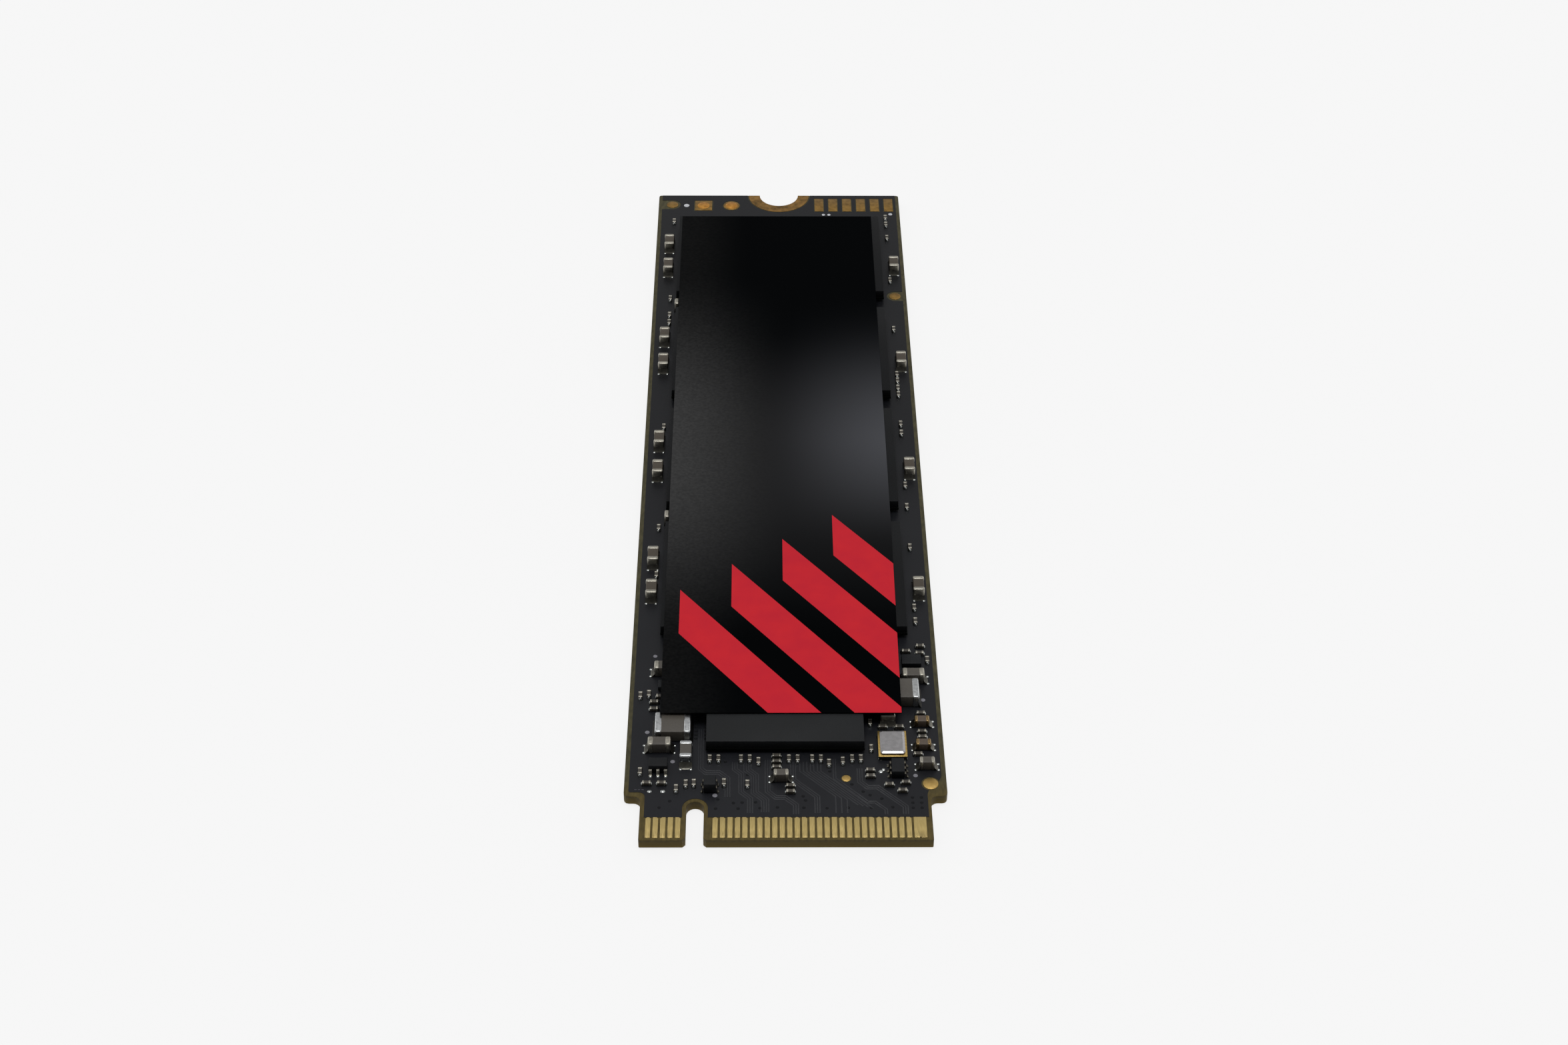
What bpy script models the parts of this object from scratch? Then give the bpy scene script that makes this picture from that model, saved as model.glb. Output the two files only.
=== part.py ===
"""Gumstick solid state drive: a bare 22 x 80 mm card with a keyed edge connector.

One controller and four memory packages stand on a single side of the board, a thin
sheet label lies across their tops, and small ceramic parts fill the strips beside them.
X runs across the card, Y along it (connector end at -Y, screw end at +Y), Z is up.
The origin is the centre of the underside. Blender units are metres.
"""
import math

import bpy
import bmesh
from mathutils import Matrix

MM = 0.001

# Board thickness, over the copper on both faces
BOARD_THICKNESS = 0.80 * MM
COPPER_THICKNESS = 0.03 * MM
EMBED = 0.10 * MM                  # how far pads and fused parts are sunk for their union
WELD_DISTANCE = 0.0005 * MM

# Packages, and the zones of the board that they set
CHIP_COUNT = 4
CHIP_WIDTH = 18.0 * MM
CHIP_DEPTH = 12.0 * MM
CHIP_BODY_HEIGHT = 0.85 * MM
CHIP_GAP = 2.33 * MM               # between one memory package and the next
CONTROLLER_WIDTH = 11.0 * MM
CONTROLLER_DEPTH = 10.0 * MM
CONTROLLER_GAP = 1.73 * MM         # from the controller to the first memory package
CONNECTOR_ZONE = 8.07 * MM         # from the connector edge to the controller
TAIL_ZONE = 5.21 * MM              # from the last memory package to the screw end
SIDE_STRIP = 2.0 * MM              # least width beside the memory packages
CONTROLLER_STRIP = 5.5 * MM        # least width beside the controller
SUBSTRATE_STEP = 0.04 * MM         # the mould cap stands this far inside its substrate
SUBSTRATE_HEIGHT = 0.20 * MM

# Solder balls under the packages
BALL_HEIGHT = 0.25 * MM
BALL_DIAMETER = 0.55 * MM
BALL_PITCH = 2.4 * MM
BALL_MARGIN = 1.1 * MM             # from the package side to the nearest ball centre
BALL_SIDES = 6

# Edge connector
SHOULDER_WIDTH = 1.15 * MM
TONGUE_LENGTH = 4.0 * MM
SHOULDER_FILLET = 0.5 * MM
OUTER_CHAMFER = 0.35 * MM          # at the board's shoulders
TONGUE_CHAMFER = 0.08 * MM
KEY_OFFSET = 6.125 * MM            # from the centreline towards -X
KEY_WIDTH = 1.2 * MM
KEY_DEPTH = 3.5 * MM
KEY_MOUTH_CHAMFER = 0.2 * MM
KEY_ARC_STEPS = 12
SHOULDER_ARC_STEPS = 5
CONTACT_WIDTH = 0.35 * MM
CONTACT_LENGTH = 1.86 * MM
CONTACT_PITCH = 0.5 * MM
CONTACT_SETBACK = 0.20 * MM        # from the connector edge
CONTACT_END_MARGIN = 0.425 * MM      # bare tongue outside the last contact
KEY_KEEPOUT = 0.5 * MM             # from the key's side to the nearest contact centre

# Screw end
SCREW_HOLE_DIAMETER = 3.5 * MM
SCREW_RING_DIAMETER = 5.5 * MM
RING_SETBACK = 0.05 * MM
HOLE_SIDES = 40
CORNER_CHAMFER = 0.2 * MM

# Label
LABEL_THICKNESS = 0.10 * MM
LABEL_GAP = 0.01 * MM
LABEL_LEFT_INSET = 0.30 * MM       # from the memory packages' sides
LABEL_RIGHT_INSET = 0.75 * MM
LABEL_REAR_INSET = 0.24 * MM       # from the last package's rear edge
LABEL_FRONT_INSET = 2.73 * MM      # from the controller's front edge
LABEL_CORNER = 0.15 * MM
LABEL_ARC_STEPS = 3

# Seat of a soldered part: the film of solder between it and the laminate
SOLDER_FILM = 0.03 * MM

# Worked out from the values above
BOARD_WIDTH = max(CHIP_WIDTH + 2 * SIDE_STRIP, CONTROLLER_WIDTH + 2 * CONTROLLER_STRIP)
MEMORY_ROW = CHIP_COUNT * CHIP_DEPTH + (CHIP_COUNT - 1) * CHIP_GAP
BOARD_LENGTH = CONNECTOR_ZONE + CONTROLLER_DEPTH + CONTROLLER_GAP + MEMORY_ROW + TAIL_ZONE
CONNECTOR_EDGE = -BOARD_LENGTH / 2
SCREW_EDGE = BOARD_LENGTH / 2
LAMINATE_BOTTOM = COPPER_THICKNESS
LAMINATE_TOP = BOARD_THICKNESS - COPPER_THICKNESS
SEAT = LAMINATE_TOP + SOLDER_FILM
PACKAGE_TOP = SEAT + BALL_HEIGHT + CHIP_BODY_HEIGHT
TONGUE_HALF = BOARD_WIDTH / 2 - SHOULDER_WIDTH
CONTROLLER_FRONT = CONNECTOR_EDGE + CONNECTOR_ZONE
FIRST_CHIP_FRONT = CONTROLLER_FRONT + CONTROLLER_DEPTH + CONTROLLER_GAP

# Two-terminal parts: length, width, height and terminal length of each case size
CASE_EDGE = (1.60 * MM, 0.85 * MM, 0.90 * MM, 0.40 * MM)
CASE_BULK = (2.50 * MM, 2.00 * MM, 1.00 * MM, 0.50 * MM)
CASE_MEDIUM = (1.05 * MM, 0.65 * MM, 0.65 * MM, 0.26 * MM)
CASE_TALL = (1.05 * MM, 0.65 * MM, 0.80 * MM, 0.26 * MM)
CASE_WIDE = (1.40 * MM, 1.05 * MM, 0.80 * MM, 0.40 * MM)
CASE_SMALL = (0.60 * MM, 0.30 * MM, 0.30 * MM, 0.16 * MM)
TERMINAL_STEP = 0.03 * MM          # the terminals stand this much proud of the body

ALONG_X = 0.0
ALONG_Y = math.pi / 2

# Edge capacitors beside each memory package, measured from the package's centre
LEFT_EDGE_INSET = 1.20 * MM
RIGHT_EDGE_INSET = 0.95 * MM
LEFT_EDGE_OFFSETS = (2.58 * MM, -1.20 * MM)
RIGHT_EDGE_OFFSETS = (-0.90 * MM,)

# Larger parts at the connector end: inset from the nearer side edge, distance from the
# connector edge, turn and case
LEFT_PARTS = (
    ("filter_capacitor_left", 2.50 * MM, 16.10 * MM, ALONG_X, CASE_EDGE),
    ("bulk_capacitor_left", 3.20 * MM, 10.15 * MM, ALONG_X, CASE_BULK),
    ("output_capacitor_left", 2.30 * MM, 8.45 * MM, ALONG_X, CASE_EDGE),
    ("output_capacitor_inner", 4.15 * MM, 7.68 * MM, ALONG_Y, CASE_EDGE),
)
RIGHT_PARTS = (
    ("filter_capacitor_right", 1.82 * MM, 15.33 * MM, ALONG_X, CASE_EDGE),
    ("bulk_capacitor_right", 2.75 * MM, 13.57 * MM, ALONG_X, CASE_BULK),
    ("input_capacitor_upper", 1.43 * MM, 10.85 * MM, ALONG_X, CASE_MEDIUM),
    ("input_capacitor_lower", 1.43 * MM, 8.58 * MM, ALONG_X, CASE_MEDIUM),
    ("input_capacitor_front", 1.28 * MM, 6.70 * MM, ALONG_X, CASE_TALL),
    ("crystal_capacitor", 3.80 * MM, 11.58 * MM, ALONG_Y, CASE_WIDE),
)
CENTRE_PARTS = (
    ("core_capacitor", -0.30 * MM, 5.55 * MM, ALONG_X, CASE_TALL),
)

# A capacitor stands in the gap before the second and the fourth memory package, its end
# just past the label's left side.
GAP_CAPACITOR_CHIPS = (1, 3)
GAP_CAPACITOR_INSET = 2.72 * MM    # from the left side edge to its centre
GAP_CAPACITOR_SETBACK = 1.15 * MM  # from the package's front edge

# Row of small parts in front of the controller: place across, distance from the
# connector edge and turn. Each is a separate piece.
ROW_PARTS = (
    (-5.20 * MM, 7.40 * MM, ALONG_Y),
    (-4.60 * MM, 7.40 * MM, ALONG_Y),
    (-3.05 * MM, 7.40 * MM, ALONG_Y),
    (-2.45 * MM, 7.40 * MM, ALONG_Y),
    (-1.85 * MM, 7.15 * MM, ALONG_Y),
    (-0.60 * MM, 7.65 * MM, ALONG_X),
    (-0.60 * MM, 7.12 * MM, ALONG_X),
    (-0.60 * MM, 6.58 * MM, ALONG_X),
    (0.25 * MM, 7.40 * MM, ALONG_Y),
    (0.85 * MM, 7.40 * MM, ALONG_Y),
    (1.85 * MM, 7.40 * MM, ALONG_Y),
    (2.45 * MM, 7.40 * MM, ALONG_Y),
    (3.00 * MM, 6.98 * MM, ALONG_Y),
    (3.95 * MM, 7.18 * MM, ALONG_Y),
    (4.60 * MM, 7.40 * MM, ALONG_Y),
    (5.20 * MM, 7.40 * MM, ALONG_Y),
)

# Small parts fused to the board. Beside the memory packages they stand along the strip:
# one row for each package, measured from the package's centre.
LEFT_STRIP_INSET = 1.50 * MM
RIGHT_STRIP_INSET = 1.35 * MM
LEFT_STRIP = (
    (0.85 * MM,),
    (4.69 * MM,),
    (),
    (6.57 * MM,),
)
RIGHT_STRIP = (
    (4.04 * MM, -2.84 * MM, -4.34 * MM),
    (5.09 * MM, 3.89 * MM, -2.80 * MM, -5.45 * MM),
    (4.03 * MM, -2.46 * MM, -3.36 * MM, -4.36 * MM, -5.26 * MM),
    (7.21 * MM, 6.07 * MM, 3.87 * MM, -2.91 * MM),
)
# Beside the gap in front of a package, measured from the package's front edge
LEFT_GAP_STRIP = (
    (),
    (-1.99 * MM,),
    (),
    (0.29 * MM, -2.20 * MM, -3.30 * MM),
)
# At the connector end: inset from the nearer side edge, distance from the connector
# edge and turn.
LEFT_SMALL = (
    (0.80 * MM, 13.65 * MM, ALONG_Y),
    (1.40 * MM, 13.80 * MM, ALONG_Y),
    (2.22 * MM, 13.55 * MM, ALONG_X),
    (1.80 * MM, 12.98 * MM, ALONG_X),
    (1.80 * MM, 12.28 * MM, ALONG_X),
    (1.53 * MM, 5.08 * MM, ALONG_X),
    (2.55 * MM, 5.08 * MM, ALONG_X),
    (1.05 * MM, 6.18 * MM, ALONG_Y),
    (3.55 * MM, 4.58 * MM, ALONG_Y),
    (4.20 * MM, 5.03 * MM, ALONG_Y),
    (4.75 * MM, 5.08 * MM, ALONG_Y),
    (6.80 * MM, 5.13 * MM, ALONG_Y),
)
RIGHT_SMALL = (
    (1.15 * MM, 18.76 * MM, ALONG_X),
    (1.22 * MM, 18.01 * MM, ALONG_X),
    (2.20 * MM, 18.21 * MM, ALONG_X),
    (0.70 * MM, 17.31 * MM, ALONG_Y),
    (1.45 * MM, 11.83 * MM, ALONG_X),
    (1.45 * MM, 10.03 * MM, ALONG_X),
    (1.45 * MM, 9.48 * MM, ALONG_X),
    (1.82 * MM, 7.83 * MM, ALONG_X),
    (4.18 * MM, 10.48 * MM, ALONG_X),
    (3.02 * MM, 10.48 * MM, ALONG_X),
    (5.05 * MM, 10.93 * MM, ALONG_Y),
    (5.05 * MM, 8.38 * MM, ALONG_Y),
    (3.92 * MM, 4.93 * MM, ALONG_X),
    (2.80 * MM, 5.13 * MM, ALONG_X),
    (3.05 * MM, 4.38 * MM, ALONG_X),
    (5.18 * MM, 6.28 * MM, ALONG_X),
    (5.18 * MM, 5.73 * MM, ALONG_X),
)
CENTRE_SMALL = (
    (0.33 * MM, 4.83 * MM, ALONG_X),
    (0.33 * MM, 4.28 * MM, ALONG_X),
    (-2.60 * MM, 5.00 * MM, ALONG_Y),
)

# Test pads at the screw end and beside the packages. Round ones: inset from the left
# side edge, distance from the screw end and diameter.
PAD_SIDES = 20
LEFT_END_PADS = (
    (1.25 * MM, 1.60 * MM, 1.05 * MM),
    (6.65 * MM, 1.75 * MM, 1.45 * MM),
)
RIGHT_SIDE_PAD = (1.00 * MM, 16.35 * MM, 1.00 * MM)
CONNECTOR_PADS = (
    (1.10 * MM, 5.15 * MM, 1.05 * MM),
    (6.85 * MM, 5.65 * MM, 0.60 * MM),
)
SQUARE_PAD_INSET = 4.10 * MM
SQUARE_PAD_FROM_END = 1.75 * MM
SQUARE_PAD_SIDE = 1.55 * MM
PROGRAM_PAD_COUNT = 6
PROGRAM_PAD_PITCH = 1.27 * MM
PROGRAM_PAD_WIDTH = 0.80 * MM
PROGRAM_PAD_LENGTH = 2.1 * MM
PROGRAM_PAD_INSET = 0.98 * MM      # from the right side edge to the last pad's centre
PROGRAM_PAD_FROM_END = 1.65 * MM

# Crystal: a ceramic tray with a seamed metal lid
CRYSTAL_WIDTH = 2.0 * MM
CRYSTAL_LENGTH = 2.5 * MM
CRYSTAL_BASE_HEIGHT = 0.38 * MM
CRYSTAL_LID_HEIGHT = 0.22 * MM
CRYSTAL_LID_INSET = 0.14 * MM
CRYSTAL_TRAY_CORNER = 0.10 * MM
CRYSTAL_LID_CORNER = 0.30 * MM
CRYSTAL_CORNER_SEGMENTS = 4
CRYSTAL_RIM_SEGMENTS = 2
CRYSTAL_LID_BEVEL = 0.07 * MM
CRYSTAL_SEAM_GAP = 0.01 * MM
CRYSTAL_INSET = 3.58 * MM
CRYSTAL_FROM_CONNECTOR = 8.60 * MM

# Leaded packages: body width, depth, height and lead pitch
LEAD_WIDTH = 0.22 * MM
LEAD_THICKNESS = 0.10 * MM
LEAD_REACH = 0.30 * MM             # from the body's side to the end of the foot
LEAD_FOOT = 0.14 * MM
PACKAGE_STANDOFF = 0.06 * MM
MOULD_DRAFT = 0.05 * MM
REGULATOR_LEFT = (1.35 * MM, 0.92 * MM, 0.66 * MM, 0.52 * MM)
REGULATOR_RIGHT = (1.40 * MM, 0.95 * MM, 0.62 * MM, 0.50 * MM)
POWER_SWITCH = (1.00 * MM, 0.90 * MM, 0.80 * MM, 0.62 * MM)
SENSOR_LEFT = (1.90 * MM, 0.85 * MM, 0.42 * MM, 0.60 * MM)
REGULATOR_LEAD_COUNT = 3           # on each of two sides
SWITCH_LEAD_COUNT = 2
CLOCK_BUFFER_SIZE = (1.40 * MM, 1.00 * MM, 0.40 * MM)
REGULATOR_LEFT_PLACE = (2.28 * MM, 6.55 * MM)
REGULATOR_RIGHT_PLACE = (3.30 * MM, 6.28 * MM)
POWER_SWITCH_PLACE = (5.85 * MM, 4.70 * MM)
SENSOR_LEFT_PLACE = (2.95 * MM, 14.55 * MM)
CLOCK_BUFFER_PLACE = (1.85 * MM, 17.15 * MM)

OBJECT_NAME = "gumstick_solid_state_drive"


def clear_scene():
    """Remove whatever the start-up file holds."""
    for item in list(bpy.data.objects):
        bpy.data.objects.remove(item, do_unlink=True)


def new_collection(name):
    group = bpy.data.collections.new(name)
    bpy.context.scene.collection.children.link(group)
    return group


def finish(name, colour, roughness, metallic=0.0):
    """Make a plain material; colour is linear red, green and blue."""
    material = bpy.data.materials.new(name)
    material.use_nodes = True
    shader = material.node_tree.nodes["Principled BSDF"]
    shader.inputs["Base Color"].default_value = (*colour, 1.0)
    shader.inputs["Roughness"].default_value = roughness
    shader.inputs["Metallic"].default_value = metallic
    return material


def add_part(name, mesh, material, place, turn=0.0):
    """Put one named piece in the object's collection."""
    piece = bpy.data.objects.new(name, mesh)
    if not mesh.materials:
        mesh.materials.append(material)
    piece.location = place
    piece.rotation_euler = (0.0, 0.0, turn)
    PARTS.objects.link(piece)
    return piece


def add_tool(name, mesh):
    """Put a mesh that only shapes another piece among the tools."""
    tool = bpy.data.objects.new(name, mesh)
    tool.display_type = 'WIRE'
    tool.hide_render = True
    TOOLS.objects.link(tool)
    return tool


def combine(piece, tool, operation):
    """Cut or join one piece with a tool."""
    step = piece.modifiers.new(tool.name, 'BOOLEAN')
    step.operation = operation
    step.solver = 'EXACT'
    step.object = tool


def mesh_of(shape, name):
    mesh = bpy.data.meshes.new(name)
    bmesh.ops.recalc_face_normals(shape, faces=shape.faces[:])
    shape.to_mesh(mesh)
    shape.free()
    return mesh


def add_block(shape, size, centre):
    """Add a box to a shape."""
    grow = Matrix.Diagonal((*size, 1.0))
    bmesh.ops.create_cube(shape, size=1.0, matrix=Matrix.Translation(centre) @ grow)


def add_disc(shape, diameter, height, centre, sides):
    """Add an upright round post to a shape."""
    bmesh.ops.create_cone(
        shape, cap_ends=True, segments=sides, radius1=diameter / 2, radius2=diameter / 2,
        depth=height, matrix=Matrix.Translation(centre))


def arc(centre, radius, start, end, steps):
    """Points round an arc, both ends included; angles in degrees."""
    points = []
    for step in range(steps + 1):
        angle = math.radians(start + (end - start) * step / steps)
        x = centre[0] + radius * math.cos(angle)
        y = centre[1] + radius * math.sin(angle)
        points.append((x, y))
    return points


def plate_mesh(name, outline, thickness):
    """Make a flat filled outline as thick as asked, centred on z = 0."""
    curve = bpy.data.curves.new(name, 'CURVE')
    curve.dimensions = '2D'
    curve.fill_mode = 'BOTH'
    curve.extrude = thickness / 2
    line = curve.splines.new('POLY')
    line.points.add(len(outline) - 1)
    for point, (x, y) in zip(line.points, outline):
        point.co = (x, y, 0.0, 1.0)
    line.use_cyclic_u = True
    guide = bpy.data.objects.new(name, curve)
    TOOLS.objects.link(guide)
    graph = bpy.context.evaluated_depsgraph_get()
    mesh = bpy.data.meshes.new_from_object(guide.evaluated_get(graph))
    bpy.data.objects.remove(guide, do_unlink=True)
    shape = bmesh.new()
    shape.from_mesh(mesh)
    bmesh.ops.remove_doubles(shape, verts=shape.verts[:], dist=WELD_DISTANCE)
    # The curve's triangulated caps give way to one face each, which cuts cleanly.
    walls = [face for face in shape.faces if len(face.verts) == 4]
    caps = [face for face in shape.faces if face not in walls]
    bmesh.ops.delete(shape, geom=caps, context='FACES')
    stray = [item for item in shape.edges if item.is_wire or len(item.link_faces) == 0]
    bmesh.ops.delete(shape, geom=stray, context='EDGES')
    rims = [item for item in shape.edges if item.is_boundary]
    bmesh.ops.holes_fill(shape, edges=rims, sides=0)
    bmesh.ops.recalc_face_normals(shape, faces=shape.faces[:])
    shape.to_mesh(mesh)
    shape.free()
    mesh.materials.clear()
    return mesh


def board_outline():
    """Outline of the card seen from above, anticlockwise from the tongue's left corner."""
    half = BOARD_WIDTH / 2
    front = CONNECTOR_EDGE
    shoulder = CONNECTOR_EDGE + TONGUE_LENGTH
    key_left = -KEY_OFFSET - KEY_WIDTH / 2
    key_right = -KEY_OFFSET + KEY_WIDTH / 2
    key_centre = (-KEY_OFFSET, front + KEY_DEPTH - KEY_WIDTH / 2)
    mouth = KEY_MOUTH_CHAMFER
    points = [(-TONGUE_HALF, front + TONGUE_CHAMFER), (-TONGUE_HALF + TONGUE_CHAMFER, front)]
    points += [(key_left - mouth, front), (key_left, front + mouth)]
    points += arc(key_centre, KEY_WIDTH / 2, 180.0, 0.0, KEY_ARC_STEPS)
    points += [(key_right, front + mouth), (key_right + mouth, front)]
    points += [(TONGUE_HALF - TONGUE_CHAMFER, front), (TONGUE_HALF, front + TONGUE_CHAMFER)]
    inner_right = (TONGUE_HALF + SHOULDER_FILLET, shoulder - SHOULDER_FILLET)
    points += arc(inner_right, SHOULDER_FILLET, 180.0, 90.0, SHOULDER_ARC_STEPS)
    points += [(half - OUTER_CHAMFER, shoulder), (half, shoulder + OUTER_CHAMFER)]
    points += [(half, SCREW_EDGE - CORNER_CHAMFER), (half - CORNER_CHAMFER, SCREW_EDGE)]
    points += [(-half + CORNER_CHAMFER, SCREW_EDGE), (-half, SCREW_EDGE - CORNER_CHAMFER)]
    points += [(-half, shoulder + OUTER_CHAMFER), (-half + OUTER_CHAMFER, shoulder)]
    inner_left = (-TONGUE_HALF - SHOULDER_FILLET, shoulder - SHOULDER_FILLET)
    points += arc(inner_left, SHOULDER_FILLET, 90.0, 0.0, SHOULDER_ARC_STEPS)
    return points


def package_centre(number):
    """Where a memory package stands along the board; number 0 is by the controller."""
    return FIRST_CHIP_FRONT + CHIP_DEPTH / 2 + number * (CHIP_DEPTH + CHIP_GAP)


def contact_places(first):
    """Centres of the contacts that fit on the tongue, from its right end leftwards."""
    places = []
    limit = TONGUE_HALF - CONTACT_END_MARGIN
    clear = KEY_WIDTH / 2 + KEY_KEEPOUT
    x = first
    while x >= -limit:
        if abs(x + KEY_OFFSET) >= clear and x <= limit:
            places.append(x)
        x -= CONTACT_PITCH
    return places


def copper_tool():
    """Contacts and pads of both faces, sunk a little into the laminate."""
    shape = bmesh.new()
    tall = COPPER_THICKNESS + EMBED
    top = BOARD_THICKNESS - tall / 2
    bottom = tall / 2
    contact = (CONTACT_WIDTH, CONTACT_LENGTH, tall)
    contact_y = CONNECTOR_EDGE + CONTACT_SETBACK + CONTACT_LENGTH / 2
    right_first = TONGUE_HALF - CONTACT_END_MARGIN - CONTACT_WIDTH / 2
    upper = contact_places(right_first)
    for x in upper[2:]:
        add_block(shape, contact, (x, contact_y, top))
    # The two contacts at the right end are one wide pad on the upper face.
    wide = upper[0] - upper[1] + CONTACT_WIDTH
    middle = (upper[0] + upper[1]) / 2
    add_block(shape, (wide, CONTACT_LENGTH, tall), (middle, contact_y, top))
    for x in contact_places(right_first - CONTACT_PITCH / 2):
        add_block(shape, contact, (x, contact_y, bottom))
    left = -BOARD_WIDTH / 2
    right = BOARD_WIDTH / 2
    for inset, from_end, diameter in LEFT_END_PADS:
        add_disc(shape, diameter, tall, (left + inset, SCREW_EDGE - from_end, top), PAD_SIDES)
    inset, from_end, diameter = RIGHT_SIDE_PAD
    add_disc(shape, diameter, tall, (right - inset, SCREW_EDGE - from_end, top), PAD_SIDES)
    for inset, along, diameter in CONNECTOR_PADS:
        place = (right - inset, CONNECTOR_EDGE + along, top)
        add_disc(shape, diameter, tall, place, PAD_SIDES)
    square = (SQUARE_PAD_SIDE, SQUARE_PAD_SIDE, tall)
    add_block(shape, square, (left + SQUARE_PAD_INSET, SCREW_EDGE - SQUARE_PAD_FROM_END, top))
    program = (PROGRAM_PAD_WIDTH, PROGRAM_PAD_LENGTH, tall)
    for number in range(PROGRAM_PAD_COUNT):
        x = right - PROGRAM_PAD_INSET - number * PROGRAM_PAD_PITCH
        add_block(shape, program, (x, SCREW_EDGE - PROGRAM_PAD_FROM_END, top))
    return add_tool("copper", mesh_of(shape, "copper"))


def screw_ring_tool():
    """Half rings of copper round the screw's half hole, on both faces."""
    shape = bmesh.new()
    tall = COPPER_THICKNESS + EMBED
    for z in (BOARD_THICKNESS - tall / 2, tall / 2):
        add_disc(shape, SCREW_RING_DIAMETER, tall, (0.0, SCREW_EDGE, z), HOLE_SIDES)
    everything = shape.verts[:] + shape.edges[:] + shape.faces[:]
    cut = bmesh.ops.bisect_plane(
        shape, geom=everything, plane_co=(0.0, SCREW_EDGE - RING_SETBACK, 0.0),
        plane_no=(0.0, 1.0, 0.0), clear_outer=True)
    rim = [item for item in cut["geom_cut"] if isinstance(item, bmesh.types.BMEdge)]
    bmesh.ops.holes_fill(shape, edges=rim)
    return add_tool("screw_ring", mesh_of(shape, "screw_ring"))


def screw_hole_tool():
    shape = bmesh.new()
    add_disc(shape, SCREW_HOLE_DIAMETER, 3 * BOARD_THICKNESS, (0.0, SCREW_EDGE, 0.0), HOLE_SIDES)
    return add_tool("screw_hole", mesh_of(shape, "screw_hole"))


def add_terminal_chip(shape, case, frame):
    """Add a two-terminal part whose base is centred on the frame's origin."""
    length, width, height, terminal = case
    added = bmesh.new()
    add_block(added, (length, width, height), (0.0, 0.0, height / 2))
    ends = length / 2 - terminal
    step = TERMINAL_STEP
    for x in (-ends, -ends + step, ends - step, ends):
        everything = added.verts[:] + added.edges[:] + added.faces[:]
        bmesh.ops.bisect_plane(
            added, geom=everything, plane_co=(x, 0.0, 0.0), plane_no=(1.0, 0.0, 0.0))
    body = [vert for vert in added.verts if abs(vert.co.x) < ends - step / 2]
    for vert in body:
        vert.co.y -= math.copysign(step, vert.co.y)
        vert.co.z -= math.copysign(step, vert.co.z - height / 2)
    bmesh.ops.transform(added, matrix=frame, verts=added.verts[:])
    bmesh.ops.recalc_face_normals(added, faces=added.faces[:])
    mesh = bpy.data.meshes.new("terminal_chip")
    added.to_mesh(mesh)
    added.free()
    shape.from_mesh(mesh)
    bpy.data.meshes.remove(mesh)


def terminal_chip_mesh(name, case):
    shape = bmesh.new()
    add_terminal_chip(shape, case, Matrix.Identity(4))
    return mesh_of(shape, name)


def fused_part_places():
    """Places and turns of the small parts that are fused to the board."""
    left = -BOARD_WIDTH / 2
    right = BOARD_WIDTH / 2
    places = []
    for number in range(CHIP_COUNT):
        centre = package_centre(number)
        front = centre - CHIP_DEPTH / 2
        for offset in LEFT_STRIP[number % len(LEFT_STRIP)]:
            places.append((left + LEFT_STRIP_INSET, centre + offset, ALONG_Y))
        for offset in LEFT_GAP_STRIP[number % len(LEFT_GAP_STRIP)]:
            places.append((left + LEFT_STRIP_INSET, front + offset, ALONG_Y))
        for offset in RIGHT_STRIP[number % len(RIGHT_STRIP)]:
            places.append((right - RIGHT_STRIP_INSET, centre + offset, ALONG_Y))
    for inset, along, turn in LEFT_SMALL:
        places.append((left + inset, CONNECTOR_EDGE + along, turn))
    for inset, along, turn in RIGHT_SMALL:
        places.append((right - inset, CONNECTOR_EDGE + along, turn))
    for x, along, turn in CENTRE_SMALL:
        places.append((x, CONNECTOR_EDGE + along, turn))
    return places


def small_parts_tool():
    """The small two-terminal parts along the strips and at the connector end."""
    shape = bmesh.new()
    length, width, height, terminal = CASE_SMALL
    sunk = (length, width, height + EMBED, terminal)
    for x, y, turn in fused_part_places():
        frame = Matrix.Translation((x, y, LAMINATE_TOP - EMBED)) @ Matrix.Rotation(turn, 4, 'Z')
        add_terminal_chip(shape, sunk, frame)
    return add_tool("small_parts", mesh_of(shape, "small_parts"))


def make_board():
    """The card: outline, copper on both faces, small fused parts and the half hole."""
    laminate = LAMINATE_TOP - LAMINATE_BOTTOM
    mesh = plate_mesh("circuit_board", board_outline(), laminate)
    middle = (LAMINATE_TOP + LAMINATE_BOTTOM) / 2
    mesh.transform(Matrix.Translation((0.0, 0.0, middle)))
    board = add_part("circuit_board", mesh, MASK, (0.0, 0.0, 0.0))
    combine(board, copper_tool(), 'UNION')
    combine(board, screw_ring_tool(), 'UNION')
    combine(board, small_parts_tool(), 'UNION')
    combine(board, screw_hole_tool(), 'DIFFERENCE')
    return board


def grid(span, margin, pitch):
    """Evenly spaced places across a span, centred, with a margin at both ends."""
    count = max(2, int((span - 2 * margin) / pitch + 0.001) + 1)
    real = (span - 2 * margin) / (count - 1)
    return [-span / 2 + margin + real * number for number in range(count)]


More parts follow.
